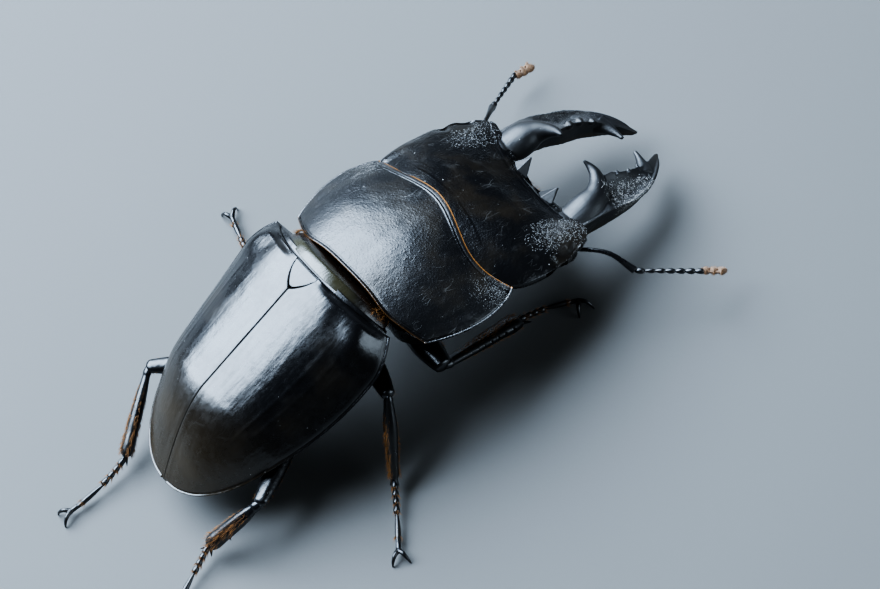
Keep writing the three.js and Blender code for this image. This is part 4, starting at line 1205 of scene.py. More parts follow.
def shell_finish(name, looks, gloss=1.0):
    """Polished black chitin with punctures, smudges, dust and hair-fine scratches; its colour also holds
    painted light: brown as a reflection of dark bark on the wing-case tips, olive partly as a reflection on
    the waist plate, and a paler sheen on grainy parts.
    """
    material, shader, place = blank_finish(name)
    cloud = place.noise(5.5, 4)
    fine = place.noise(0.7, 5)
    apex, polish, groove = mask(place, "apex"), mask(place, "polish"), mask(place, "groove")
    olive, amber, grain_and_sheen_mask = (mask(place, n) for n in ("olive", "amber", "grain"))
    # thin mixes in the brown: on the rear of the wing cases it is a painted reflection of dark bark; on the
    # jaws' undersides and in the random cloud it is the chitin's own tone
    thin = (apex * 0.9 + cloud.between(0.45, 0.75) * 0.3).capped()
    colour = thin.colours(looks.shell[:], looks.brown[:])
    # olive on the waist plate: partly its own tint, partly a painted reflection
    colour = olive.colours(colour, looks.olive[:])
    colour = (amber * 0.7).colours(colour, [c * 0.05 for c in looks.amber])
    dust = specks(place, 0.95, 0.14, 0.065) + specks(place, 0.33, 0.05, 0.12) * 0.6
    film = place.noise(2.3, 6).between(0.55, 0.8) * 0.012
    marks = scratches(place, 2.4, 1) * 0.22 + scratches(place, 1.1, 2) * 0.18
    # the grain term lightens grainy chitin as a painted sheen; the other terms are dust, smudges, scratches
    # and dust in the grooves
    pale = dust * 0.7 + film + marks * 0.04 + groove * 0.01 + grain_and_sheen_mask * 0.015
    colour = pale.capped().colours(colour, looks.dust[:])
    base = looks.gloss * gloss
    roughness = base + cloud.between(0.3, 0.7) * 0.09 + fine.between(0.4, 0.7) * 0.05
    roughness = roughness + marks * 0.2 + dust * 0.4 - polish * (0.35 * base) + groove * 0.15
    pits = place.cells(0.19).between(0.0, 0.32)
    pits = 1 - (1 - pits) * place.noise(1.1, 2).between(0.42, 0.6)
    grains = 1 - place.cells(0.2).between(0.0, 0.55)
    streaks = place.scaled(1.0, 0.1, 0.5).noise(0.42, 4)
    height = pits * 0.25 + fine * 0.5 - marks * 0.35 + place.noise(0.12, 2) * 0.3 + dust * 0.6
    height = height + grains * grain_and_sheen_mask * 4.0 + streaks * 2.4 + place.noise(1.5, 3) * 4.0
    dress(place, shader, colour, roughness, height, 0.000012, IOR=1.72)
    return material


def satin_finish(name, looks, sheen=1.0):
    """Black chitin with a dense fine grain that breaks the light into a silky sheen; where it is grainy its
    colour is also lightened as a painted sheen.
    """
    material, shader, place = blank_finish(name)
    grain_and_sheen_mask, polish, groove, amber = (mask(place, n) for n in ("grain", "polish", "groove", "amber"))
    cloud, fine = place.noise(4.2, 4), place.noise(0.5, 5)
    colour = (cloud.between(0.42, 0.72) * 0.35).colours(looks.shell[:], looks.brown[:])
    grains, larger = place.cells(0.19), place.cells(0.27)
    dust = specks(place, 1.1, 0.13, 0.07) + specks(place, 0.36, 0.06, 0.11) * 0.6
    marks = scratches(place, 1.9, 1) + scratches(place, 0.9, 2) * 0.6
    # the grain term lightens grainy chitin as a painted sheen; the other terms are dust, scratches and
    # smudges
    pale = dust * 0.8 + marks * 0.1 + place.noise(1.6, 6).between(0.58, 0.8) * 0.03 + grain_and_sheen_mask * 0.02
    colour = pale.capped().colours(colour, looks.dust[:])
    colour = amber.capped().colours(colour, [c * 0.95 for c in looks.amber])
    roughness = looks.satin * sheen + cloud.between(0.3, 0.7) * 0.05
    roughness = roughness + dust * 0.3 + marks * 0.12 - grain_and_sheen_mask * 0.08
    roughness = (roughness - polish * 0.26 + groove * 0.1).sum("MAXIMUM", 0.12)
    bumps = (1 - grains.between(0.0, 0.55)) * (1 - polish * 0.9) * (0.35 + grain_and_sheen_mask * 0.65)
    coarse = (1 - larger.between(0.0, 0.5)) * grain_and_sheen_mask
    leather = 1 - place.cells(0.36).between(0.0, 0.6)
    height = bumps * 0.9 + leather * 0.5 + coarse * 2.4 + fine * 0.6 + place.noise(0.9, 3)
    height = height - marks * 0.4 + dust * 0.5
    dress(place, shader, colour, roughness, height, 0.000022, IOR=1.68)
    return material


def eye_finish(name):
    """Dark compound eye with a fine honeycomb of facets."""
    material, shader, place = blank_finish(name)
    facets = place.cells(0.085, jitter=0.25)
    tone = place.noise(0.8, 3).between(0.3, 0.7)
    colour = tone.colours((0.004, 0.003, 0.002), (0.014, 0.007, 0.004))
    dome = 1 - facets.between(0.0, 0.6)
    dress(place, shader, colour, 0.16 + tone * 0.12, dome, 0.000012, IOR=1.5)
    return material


def hair_finish(name, root, tip):
    """Bristle that pales from its root to its point."""
    material, shader, place = blank_finish(name)
    along, draw = mask(place, "along"), mask(place, "draw")
    colour = (along * 0.75 + draw * 0.35).capped().colours(root, tip)
    rough = 0.38 + draw * 0.2 + place.noise(0.3, 2) * 0.1
    dress(place, shader, colour, rough, place.noise(0.05, 2), 0.000004, IOR=1.45)
    return material


def velvet_finish(name, looks):
    """Dense short pile of the feeler clubs."""
    material, shader, place = blank_finish(name)
    tone = place.noise(0.25, 4).between(0.3, 0.7)
    colour = tone.colours([c * 0.5 for c in looks.club], looks.club[:])
    dress(place, shader, colour, 0.8 - tone * 0.1, 1 - place.cells(0.05), 0.00002, Sheen_Weight=0.4)
    return material


def grain_finish(name, looks, pale):
    """Polished round grains, lightened towards the dust colour as a painted sheen; pale says how much."""
    material, shader, place = blank_finish(name)
    tone = place.noise(0.6, 3).between(0.3, 0.7)
    light = [c * pale for c in looks.dust]
    colour = tone.colours([c * 0.12 for c in light], light)
    rough = 0.24 + tone * 0.12
    dress(place, shader, colour, rough, place.noise(0.06, 2), 0.000004, IOR=1.9)
    return material


def finishes():
    """Every material of the beetle by its short name, made once."""
    looks = bpy.context.scene.beetle_finish
    amber = looks.amber[:]
    makers = {
        "shell": lambda name: shell_finish(name, looks),
        "jaw": lambda name: shell_finish(name, looks, 1.95),
        "limb": lambda name: shell_finish(name, looks, 1.15),
        "satin": lambda name: satin_finish(name, looks),
        "head": lambda name: satin_finish(name, looks, 0.8),
        "eye": eye_finish,
        "bristle": lambda name: hair_finish(name, [c * 0.25 for c in amber], amber),
        "velvet": lambda name: velvet_finish(name, looks),
        # Both grain finishes are lightened as a painted sheen; the crumbs are the brighter, lit copy for the
        # right jaw
        "grain": lambda name: grain_finish(name, looks, 0.4),
        "crumb": lambda name: grain_finish(name, looks, 1.3),
    }
    known = bpy.data.materials
    return {key: known.get("beetle_" + key) or make("beetle_" + key) for key, make in makers.items()}


# ------------------------------------------------------------------ things that repeat
def grown_tree(name, **numbers):
    """An empty node group from mesh to mesh, with a named input for each number and the material.

    Gives the group, its inputs' identifiers, the outputs of its input node and its geometry."""
    tree = bpy.data.node_groups.new(name, "GeometryNodeTree")
    ids = {}

    def socket(key, kind, way="INPUT"):
        made = tree.interface.new_socket(name=key, in_out=way, socket_type="NodeSocket" + kind)
        ids[key] = made.identifier
        return made

    socket("Geometry", "Geometry", "OUTPUT")
    socket("Geometry", "Geometry")
    for key, value in numbers.items():
        socket(key, "Int" if isinstance(value, int) else "Float").default_value = value
    socket("Material", "Material")
    given = tree.nodes.new("NodeGroupInput").outputs
    return tree, ids, given, Value(tree, given["Geometry"])


def read(flow, name, kind="FLOAT"):
    """Value of a named attribute."""
    return flow.node("GeometryNodeInputNamedAttribute", 0, dict(data_type=kind), Name=name)


def read_vector(flow, name):
    return read(flow, name, "FLOAT_VECTOR")


def stored(flow, geometry, name, value, kind="FLOAT", domain="POINT"):
    settings = dict(data_type=kind, domain=domain)
    return flow.node(
        "GeometryNodeStoreNamedAttribute", 0, settings, Geometry=geometry, Name=name, Value=value
    )


def with_own_place(flow, geometry):
    """Remember each point's place inside the thing that is repeated."""
    position = flow.node("GeometryNodeInputPosition")
    return stored(flow, geometry, "own", position, "FLOAT_VECTOR")


def vector_sum(flow, operation, a, b):
    return flow.node("ShaderNodeVectorMath", 0, dict(operation=operation), _0=a, _1=b)


def vector_times(flow, vector, number):
    return flow.node("ShaderNodeVectorMath", 0, dict(operation="SCALE"), _0=vector, Scale=number)


def upright(flow, direction):
    """A turn that brings a thing's own Z to a direction."""
    return flow.node("FunctionNodeAlignRotationToVector", 0, dict(axis="Z"), Vector=direction)


def vector_of(flow, x, y, z):
    return flow.node("ShaderNodeCombineXYZ", X=x, Y=y, Z=z)


def drawn(flow, low, high, seed):
    return flow.node("FunctionNodeRandomValue", 1, dict(data_type="FLOAT"), _2=low, _3=high, _8=seed)


def planted(flow, points, thing, turn, scale):
    return flow.node(
        "GeometryNodeInstanceOnPoints", Points=points, Instance=thing, Rotation=turn, Scale=scale
    )


def ended(flow, tree, geometry, given):
    """Realize, colour and hand over. Each root's patch of the unwrap is 0.003 across."""
    solid = flow.node("GeometryNodeRealizeInstances", Geometry=geometry)
    patch_of_root = vector_sum(flow, "MULTIPLY", read_vector(flow, "own"), (0.0015, 0.0015, 0.0))
    place = vector_sum(flow, "ADD", read_vector(flow, "root_uv"), patch_of_root)
    solid = stored(flow, solid, "OFBake", place, "FLOAT2", "CORNER")
    solid = flow.node("GeometryNodeSetShadeSmooth", Geometry=solid)
    solid = flow.node("GeometryNodeSetMaterial", Geometry=solid, Material=given["Material"])
    tree.links.new(solid.socket, tree.nodes.new("NodeGroupOutput").inputs["Geometry"])


def bristle_tree():
    """One curved, tapering bristle on each point, along its lean and drooping at the tip."""
    tree, ids, given, flow = grown_tree("beetle_bristles", Radius=0.00003, Spread=0.25, Bend=0.3, Seed=1)
    radius, seed = given["Radius"], given["Seed"]
    hair = flow.node(
        "GeometryNodeMeshCone", 0, dict(fill_type="TRIANGLE_FAN"),
        Vertices=4, Side_Segments=3, Radius_Top=0.12, Radius_Bottom=1.0, Depth=1.0,
    )
    hair = with_own_place(flow, hair)
    settings = dict(data_type="FLOAT_VECTOR")
    jitter = flow.node("FunctionNodeRandomValue", 0, settings, _0=(-1, -1, -1), _1=(1, 1, 1), Seed=seed)
    jitter = vector_times(flow, jitter, given["Spread"])
    lean = vector_sum(flow, "ADD", read_vector(flow, "lean"), jitter)
    draw = drawn(flow, 0.0, 1.0, seed)
    length = read(flow, "grow") * (0.65 + draw * 0.5)
    points = stored(flow, flow, "draw", draw)
    tufts = planted(flow, points, hair, upright(flow, lean), vector_of(flow, radius, radius, length))
    solid = flow.node("GeometryNodeRealizeInstances", Geometry=tufts)
    rise = flow.node("ShaderNodeSeparateXYZ", 2, Vector=read_vector(flow, "own"))
    amount = rise * rise * read(flow, "grow") * Value(tree, given["Bend"])
    bend = vector_times(flow, read_vector(flow, "droop"), amount)
    solid = flow.node("GeometryNodeSetPosition", Geometry=solid, Offset=bend)
    ended(flow, tree, stored(flow, solid, "along", rise), given)
    return tree, ids


def grain_tree():
    """Rounded grains strewn over the parts of a skin where its density is high."""
    tree, ids, given, flow = grown_tree(
        "beetle_grains", Radius=0.00008, Count=2.0e7, Spacing=0.0001, Flatness=0.6, Seed=1
    )
    strewn = flow.node(
        "GeometryNodeDistributePointsOnFaces", 0, dict(distribute_method="POISSON"),
        Mesh=flow, Distance_Min=given["Spacing"], Density_Max=given["Count"],
        Density_Factor=read(flow, "density"), Seed=given["Seed"],
    )
    wide = drawn(flow, 0.55, 1.15, given["Seed"]) * Value(tree, given["Radius"])
    tall = wide * Value(tree, given["Flatness"])
    grain = with_own_place(flow, flow.node("GeometryNodeMeshIcoSphere", 0, Radius=1.0, Subdivisions=1))
    turn = strewn.socket.node.outputs["Rotation"]
    ended(flow, tree, planted(flow, strewn, grain, turn, vector_of(flow, wide, wide, tall)), given)
    return tree, ids


def link_tree():
    """One pear-shaped link on each point, along its lean, as long and as thick as the point says."""
    tree, ids, given, flow = grown_tree("beetle_links", Flare=0.3)
    link = flow.node("GeometryNodeMeshUVSphere", 0, Segments=22, Rings=16, Radius=1.0)
    position = flow.node("GeometryNodeInputPosition")
    widen = 1 + flow.node("ShaderNodeSeparateXYZ", 2, Vector=position) * Value(tree, given["Flare"])
    flared = vector_sum(flow, "MULTIPLY", position, vector_of(flow, widen, widen, 1.0))
    link = flow.node("GeometryNodeSetPosition", Geometry=link, Position=flared)
    turn = upright(flow, read_vector(flow, "lean"))
    link = with_own_place(flow, link)
    ended(flow, tree, planted(flow, flow, link, turn, read_vector(flow, "stretch")), given)
    return tree, ids


TREES = {"bristles": bristle_tree, "grains": grain_tree, "links": link_tree}
MADE_TREES = {}


def grown(kind, name, source, finish, slot, nodes=(), **inputs):
    """Run one of the node groups over a source mesh and keep the result as a plain piece."""
    if kind not in MADE_TREES:
        MADE_TREES[kind] = TREES[kind]()
    tree, ids = MADE_TREES[kind]
    holder = linked(name + ".source", source)
    grow = holder.modifiers.new("grow", "NODES")
    grow.node_group = tree
    for key, value in dict(inputs, Material=finishes()[finish]).items():
        grow[ids[key]] = value
    graph = bpy.context.evaluated_depsgraph_get()
    mesh = bpy.data.meshes.new_from_object(
        holder.evaluated_get(graph), preserve_all_data_layers=True, depsgraph=graph
    )
    if not mesh.polygons:
        raise RuntimeError(f"{name}: the node group made nothing")
    holder.modifiers.remove(grow)
    bpy.data.objects.remove(holder)
    bpy.data.meshes.remove(source)
    for spare in ("own", "root_uv", "lean", "droop", "grow", "stretch", "density"):
        if spare in mesh.attributes:
            mesh.attributes.remove(mesh.attributes[spare])
    mesh.name = name
    settle(linked(name, mesh), nodes)


def with_values(mesh, **values):
    """Give a mesh named numbers or vectors, one for each of its points."""
    for name, data in values.items():
        data = np.asarray(data, np.float32)
        kind = "FLOAT" if data.ndim == 1 else "FLOAT_VECTOR"
        layer = mesh.attributes.new(name, kind, "POINT")
        layer.data.foreach_set("value" if data.ndim == 1 else "vector", data.ravel())
    return mesh


def bristle_roots(place, points, lean, grow, droop, root_uv):
    """Bare points for the bristle group; all in a block's frame and millimetres."""
    turn = place[:3, :3].T
    mesh = placed_mesh("roots", points, [], place)
    return with_values(mesh, lean=unit(lean) @ turn, droop=droop @ turn, grow=grow * MM, root_uv=root_uv)


def grain_skin(place, points, faces, density, root_uv):
    """A copy of a skin with a density for the grain group."""
    mesh = placed_mesh("skin", points, faces, place)
    recalculated(mesh)
    return with_values(mesh, density=density, root_uv=root_uv)


def link_points(centres, lean, girth, reach, shares):
    """Bare points for the link group, in the floor's frame."""
    stretch = np.stack(np.broadcast_arrays(girth, girth, reach), 1) * MM
    mesh = placed_mesh("links", centres, [], FLOOR)
    lean = np.broadcast_to(lean, (len(centres), 3))
    return with_values(mesh, lean=lean, stretch=stretch, root_uv=uv(shares, 0.5))


def strands(points, lean, grow, droop, across, along, tile=0):
    """Bristles for a set of points; a lean, droop or place on the unwrap may stand for them all."""
    count = (len(points), 3)
    place = np.broadcast_to(uv(across, along, tile), count)
    return points, np.broadcast_to(lean, count), grow, np.broadcast_to(droop, count), place


def stacked(groups):
    """Several sets of strands as one."""
    return [np.concatenate(column) for column in zip(*groups)]


def uv(across, along, tile=0):
    """Place on an unwrap with one tile for each skin: across from -1 to 1, along from 0 to 1."""
    column, row = tile % 3, tile // 3
    u = (column + 0.05 + 0.9 * (np.asarray(across) * 0.5 + 0.5)) / 3
    v = (row + 0.05 + 0.9 * np.asarray(along)) / 4
    return np.stack(np.broadcast_arrays(u, v, 0.0), -1)


# ------------------------------------------------------------------ where the bristles stand
DOWN, REAR = at(0, 0, -1), at(-1, 0, 0)


def margin_fringe(hair, draw):
    """Golden fringes in front of and behind the shield of the prothorax."""
    length = hair.fringe_length / MM
    groups = []
    for count, front in ((1500, True), (300, False)):
        t = np.sin(draw.uniform(-1, 1, count) * math.pi / 2) * 0.985
        v = np.full(count, 1.0 if front else 0.0)
        edge = pronotum_front(t) - 0.12 if front else pronotum_rear(t) + 0.2
        level = pronotum_level(v, t)
        points = at(edge, pronotum_half(v) * t, level - 0.16 - draw.uniform(0, 0.12, count))
        lean = at(1.0 if front else -1.0, draw.normal(0, 0.25, count), -0.1)
        reach = length * draw.uniform(0.5, 1.0, count) * (0.6 if front else 0.4)
        groups.append(strands(points, lean, reach, DOWN, t, v))
    return stacked(groups)


SHIN_ROWS = (
    # degrees round the shin from its outer edge, bristles, share of the full length
    (90, 150, 0.7), (-90, 150, 0.7), (60, 70, 0.9), (-60, 70, 0.9),
    (180, 90, 1.0), (120, 60, 0.8), (-120, 60, 0.8),
)
FRONT_SHIN_ROWS = ((180, 260, 1.0), (150, 160, 0.9), (-150, 160, 0.9))


def shin_rows(hair, draw):
    """Rows of stiff bristles in the grooves and on the edges of the tibiae."""
    length = hair.leg_bristle / MM
    groups = []
    for tile, leg in enumerate(LEGS):
        start, ankle, along, _, outward = shin_lie(leg)
        girth = LEG_GIRTH["tibia"][pair_of(leg)]
        in_front = pair_of(leg) == "front"
        flat = unit(np.cross(outward, along))
        for turn, count, reach in SHIN_ROWS + (FRONT_SHIN_ROWS if in_front else ()):
            x = draw.uniform(0.12, 0.97, count)
            angle = np.radians(turn + draw.normal(0, 9, count))
            radius = girth * spline(x, SHIN_OUTLINE[pair_of(leg)]) * 0.9
            thin = flat * (0.7 if in_front else 0.8)
            side = np.cos(angle)[:, None] * outward + np.sin(angle)[:, None] * thin
            points = mix(start, ankle, x[:, None]) + side * radius[:, None]
            grow = length * reach * draw.uniform(0.5, 1.0, count) * (0.6 + 0.5 * x)
            lean = unit(side) * 0.6 + along * 0.85
            groups.append(strands(points, lean, grow, along, turn / 180, x, tile))
    return stacked(groups)


def foot_pads(hair, draw):
    """Tufts below the ends of the foot joints and the two fine hairs between the claws."""
    length, count, steps = hair.leg_bristle / MM, 26, 200
    groups = []
    for tile, leg in enumerate(LEGS):
        path = foot_path(leg, steps)
        heading = unit(np.gradient(path, axis=0))
        for place in (0.15, 0.27, 0.39, 0.52, 0.9):
            i = np.clip((steps * (place - draw.uniform(0.0, 0.035, count))).astype(int), 0, steps - 1)
            angle = draw.uniform(0, 2 * math.pi, count)
            side = unit(np.cross(heading[i], (0, 0, 1.0)))
            down = np.cross(side, heading[i])
            spread = side * np.cos(angle)[:, None] + down * np.sin(angle)[:, None]
            lean = spread * 0.5 + heading[i] * 0.9
            grow = length * draw.uniform(0.35, 0.8, count)
            groups.append(strands(path[i] + spread * 0.34, lean, grow, DOWN, angle / 3.2 - 1, place, tile))
    return stacked(groups)


def thigh_brush(hair, draw):
    """Short orange pile on the front face of the front thighs and the tips of the others."""
    length = hair.leg_bristle / MM
    groups = []
    for tile, leg in enumerate(LEGS):
        rings = thigh(leg)
        in_front = pair_of(leg) == "front"
        count, span = (420, (0.2, 0.72)) if in_front else (140, (0.5, 0.97))
        row = (draw.uniform(*span, count) * (len(rings) - 1)).astype(int)
        centre = rings.mean(axis=1)
        column = draw.integers(0, rings.shape[1], count)
        points = rings[row, column]
        outward = unit(points - centre[row])
        keep = outward @ at(1.0, 0, 0.1) > 0.35 if in_front else outward[:, 2] < 0.2
        along = unit(centre[-1] - centre[0])
        points, outward, row, column = points[keep], outward[keep], row[keep], column[keep]
        grow = length * 0.45 * draw.uniform(0.5, 1, len(points))
        lean = outward * 0.6 + along
        groups.append(strands(points, lean, grow, along, column / 18 - 1, row / len(rings), tile))
    return stacked(groups)


def belly_down(hair, draw):
    """Soft down on the underside, denser between the hips."""
    length, count = hair.belly_hair / MM, 2600
    forward, left = draw.uniform(-11.2, -0.6, count), draw.uniform(-7.5, 7.5, count)
    s = wing_share(forward)
    half = elytra_half(s) - 0.9
    v = (0.2 - forward) / 11.8
    depth = 6.0 * (1 - 0.12 * v * v)
    up = elytra_rim(s) - 0.3 - depth * (1 - np.abs(left / half) ** 2.2)
    points = at(forward - 0.5 * v, left, up + 0.06)
    lean = at(-0.9, left * 0.05, -0.55)
    keep = draw.uniform(0, 1, count) < 0.25 + 0.75 * smooth(np.abs(left), 1.5, 5.5)
    grow = length * draw.uniform(0.3, 0.8, count)
    return [column[keep] for column in strands(points, lean, grow, REAR, left / 8, v)]


def tail_fringe(hair, draw):
    """Short hairs on the free edges of the belly plates."""
    length, count = hair.belly_hair / MM * 0.5, 170
    groups = []
    for tile, joint in enumerate((*BELLY_JOINTS[1:-1], 0.995)):
        t = draw.uniform(-0.93, 0.93, count)
        station = belly_station(joint - 0.004)
        s = wing_share(station)
        half = np.maximum(0.5, elytra_half(s) - 1.0)
        depth = 4.3 * mix(1, 0.24, joint**2)
        up = elytra_rim(s) - 0.3 - depth * (1 - np.abs(t) ** 1.9) - 0.16 * (1 - t**8)
        points = at(station - 0.5 * (1 - t * t), half * t, up)
        grow = length * draw.uniform(0.4, 1, count)
        groups.append(strands(points, at(-1, 0.2 * t, -0.25), grow, at(-1, 0, 0.4), t, 0.5, tile))
    return stacked(groups)


def mouth_brush(hair, draw):
    """The golden brush between the jaws, and hair along the chin."""
    groups = []
    for side in (-1, 1):
        count = 220
        ahead, across = draw.uniform(0, 0.5, count), draw.uniform(0.3, 2.6, count)
        points = at(11.7 + ahead, side * across, -3.3 + draw.uniform(-0.4, 0.4, count))
        sway, rise = draw.normal(0, 0.25, count), draw.normal(0, 0.2, count)
        grow = draw.uniform(0.8, 1.9, count)
        lean = at(1, sway, rise - 0.25)
        groups.append(strands(points, lean, grow, DOWN, points[:, 0] / 3, 0.5 + side * 0.2))
    count = 260
    t = draw.uniform(-1, 1, count)
    points = at(11.6 - 0.8 * np.abs(t) ** 6, t * 3.5, -5.1 + 0.6 * t * t)
    lean = at(1, draw.normal(0, 0.3, count), -0.5)
    groups.append(strands(points, lean, draw.uniform(0.3, 0.7, count), DOWN, t, 0.95, 1))
    return stacked(groups)


def waist_fringe(hair, draw):
    """Orange hair at the corners of the waist, where the shield overhangs the wing cases."""
    groups = []
    for tile, side in enumerate((-1, 1)):
        count = 120
        across, v = draw.uniform(0.84, 1.0, count), draw.uniform(0.12, 0.6, count)
        dome = np.maximum(1 - across**2.2, 0) ** 0.8
        up = mix(mix(-1.1, -3.4, v), mix(3.9, -2.2, smooth(v, 0.24, 0.43)), dome)
        points = at(mix(0.25, 4.6, v), side * mix(8.9, 7.3, v) * across, up)
        lean = at(-0.2, side * 0.5, 0.8) + draw.normal(0, 0.25, (count, 3))
        groups.append(strands(points, lean, draw.uniform(0.4, 0.9, count), REAR, across, v, tile))
    return stacked(groups)


def club_pile(hair, draw):
    """Very short velvet on the feeler clubs and a few longer hairs at their edges."""
    count = 900
    groups = []
    for tile, side in enumerate((-1, 1)):
        points, _ = club_leaves(side)
        points = points[: len(points) * 9 // 10]
        pick = draw.integers(0, len(points), count)
        outward = unit(points[pick] - points.mean(0))
        grow = draw.uniform(0.1, 0.22, count)
        across, along = outward[:, 0], outward[:, 2] * 0.5 + 0.5
        groups.append(strands(points[pick], outward, grow, outward, across, along, tile))
    return stacked(groups)


HAIR_PIECES = {
    # name: (roots, block, radius share, spread, bend)
    "shield_fringes": (margin_fringe, THORAX, 0.75, 0.12, 0.15),
    "shin_bristles": (shin_rows, FLOOR, 0.95, 0.15, 0.2),
    "foot_bristles": (foot_pads, FLOOR, 0.8, 0.15, 0.2),
    "thigh_pile": (thigh_brush, FLOOR, 0.7, 0.2, 0.2),
    "breast_down": (belly_down, HIND, 0.6, 0.25, 0.35),
    "belly_fringes": (tail_fringe, HIND, 0.6, 0.15, 0.2),
    "mouth_brushes": (mouth_brush, HEAD, 0.9, 0.15, 0.3),
    "waist_hair": (waist_fringe, HIND, 0.8, 0.25, 0.2),
    "club_velvet": (club_pile, FLOOR, 0.4, 0.3, 0.1),
}


# ------------------------------------------------------------------ where the grains lie
def sparse(density, least):
    """No stray grains where the density is low."""
    return np.where(density > least, density, 0)


def temple_grains(sizes):
    """Grains on the front corners of the head, round the eyes."""
    points, faces = head_shell(sizes)[0]
    f, l, u = folded(points)
    corner = patch(f, l, (9.6, 8.9), (3.6, 2.3)) * smooth(l, 5.9, 7.2)
    clear_of_eye = smooth(from_socket(f, l), 0.8, 1.2)
    density = corner * smooth(u, -2.6, -0.6) * clear_of_eye * np.where(points[:, 0] > 0, 0.6, 1)
    return points, faces, sparse(density, 0.2), uv(points[:, 0] / 13, clamp01((f + 3) / 16))


def shield_grains(sizes):
    """Grains towards the front corners and side gutters of the shield."""
    (points, faces), masks = shield(sizes)
    f, l, _ = folded(points)
    top = np.arange(len(points)) < len(points) // 2
    corner = patch(np.minimum(f, 10.4), np.minimum(l, 11.6), (10.4, 11.6), (1.7, 1.3))
    density = np.where(top, corner * (1 - masks["polish"]) * smooth(f, 4.0, 8.0), 0)
    return points, faces, sparse(density, 0.05), uv(points[:, 0] / 15, clamp01(f / 14))


def jaw_grains(side, sizes):
    """Grains on the outer upper face of a jaw."""
    points, faces = jaw(side, sizes)[0]
    f, l, u = folded(points)
    density = smooth(f, 17.0, 19.5) * (1 - smooth(f, 23.8, 25.2)) * smooth(l, 4.9, 5.8)
    density = density * smooth(u, -2.9, -2.0)
    return points, faces, sparse(density, 0.05), uv(l / 10, clamp01((f - 9) / 20))


# ------------------------------------------------------------------ operators
class BeetleStep:
    """What all building steps share"""

    bl_options = {"REGISTER", "UNDO"}

    def execute(self, context):
        self.build(context.scene.beetle_sizes, context.scene)
        return {"FINISHED"}


class BEETLE_OT_wing_cases(BeetleStep, bpy.types.Operator):
    """Build the two wing cases and the scutellum between them"""

    bl_idname = "beetle.wing_cases"
    bl_label = "Wing cases"

    def build(self, sizes, scene):
        for name, side in SIDES.items():
            shape, masks = wing_case(side, sizes)
            piece(f"wing_case_{name}", shape, HIND, "shell", [f"elytron_{name}"], masks)
        piece("scutellum_plate", scutellum_plate(), HIND, "shell", ["scutellum"])


class BEETLE_OT_trunk(BeetleStep, bpy.types.Operator):
    """Build the waist, the breast plate and the belly"""

    bl_idname = "beetle.trunk"
    bl_label = "Waist, breast and belly"

    def build(self, sizes, scene):
        shape, masks = waist_body()
        piece("waist", shape, HIND, "shell", ["mesothorax"], masks)
        piece("breast_plate", breast_plate(), HIND, "shell", ["metathorax"])
        piece("belly_plates", belly_segments(), HIND, "shell", ["abdomen"])


class BEETLE_OT_prothorax(BeetleStep, bpy.types.Operator):
    """Build the shield of the prothorax and its underside"""

    bl_idname = "beetle.prothorax"
    bl_label = "Prothorax"

    def build(self, sizes, scene):
        shape, masks = shield(sizes)
        piece("shield", shape, THORAX, "satin", ["pronotum"], masks)
        piece("throat_plate", throat_plate(), THORAX, "shell", ["prosternum"])


EYE_RADII = (1.3, 0.85, 1.15)
PALPS = (("maxillary", (11.6, 3.2, -4.3), 2.3), ("labial", (11.6, 1.1, -4.8), 1.4))  # kind, root, reach


class BEETLE_OT_head(BeetleStep, bpy.types.Operator):
    """Build the head capsule, the eyes, the lip, the chin and the palps"""

    bl_idname = "beetle.head"
    bl_label = "Head"

    def build(self, sizes, scene):
        shape, masks = head_shell(sizes)
        piece("head_shell", shape, HEAD, "head", ["head"], masks)
        piece("lip_horns", lip(sizes), HEAD, "jaw", ["labrum"])
        piece("chin_plate", chin_plate(), HEAD, "satin", ["mentum"])
        for name, side in SIDES.items():
            eye = ball(EYE_SPOTS[side], EYE_RADII, 96)
            piece(f"eye_ball_{name}", eye, HEAD, "eye", [f"eye_{name}"])
            for kind, root, reach in PALPS:
                shape = mouth_feeler(side, root, reach)
                piece(f"{kind}_feeler_{name}", shape, HEAD, "limb", [f"{kind}_palp_{name}"])


class BEETLE_OT_jaws(BeetleStep, bpy.types.Operator):
    """Build the two jaws"""

    bl_idname = "beetle.jaws"
    bl_label = "Jaws"

    def build(self, sizes, scene):
        for name, side in SIDES.items():
            shape, masks = jaw(side, sizes)
            piece(f"jaw_{name}", shape, HEAD, "jaw", [f"mandible_{name}"], masks)


# beads of a feeler: where each sits along the stem, and its girth
BEADS = ((0.06, 0.36), (0.22, 0.27), (0.37, 0.29), (0.52, 0.31), (0.67, 0.33), (0.82, 0.35), (0.96, 0.33))


class BEETLE_OT_feelers(BeetleStep, bpy.types.Operator):
    """Build the feelers with their beaded stems and three-leaved clubs"""

    bl_idname = "beetle.feelers"
    bl_label = "Feelers"

    def build(self, sizes, scene):
        places, girth = np.array(BEADS).T
        for name, side in SIDES.items():
            piece(f"feeler_stem_{name}", feeler_stem(side), FLOOR, "limb", [f"antenna_scape_{name}"])
            start, end = at(*FEELERS[name]["elbow"]), at(*FEELERS[name]["club"])
            gap = np.linalg.norm(end - start) * 0.15
            centres = mix(start, end, places[:, None])
            mesh = link_points(centres, unit(end - start), girth, gap * 0.56, places)
            nodes = [f"antenna_funicle_{name}"]
            grown("links", f"feeler_beads_{name}", mesh, "limb", "gloss_shell", nodes, Flare=0.28)
            piece(f"feeler_club_{name}", club_leaves(side), FLOOR, "velvet", [f"antenna_club_{name}"])


FOOT_JOINTS = (
    # where each joint starts and ends along the foot, and its girth
    (0.0, 0.16, 0.37), (0.15, 0.28, 0.36), (0.27, 0.40, 0.36), (0.39, 0.53, 0.37), (0.51, 1.0, 0.33),
)


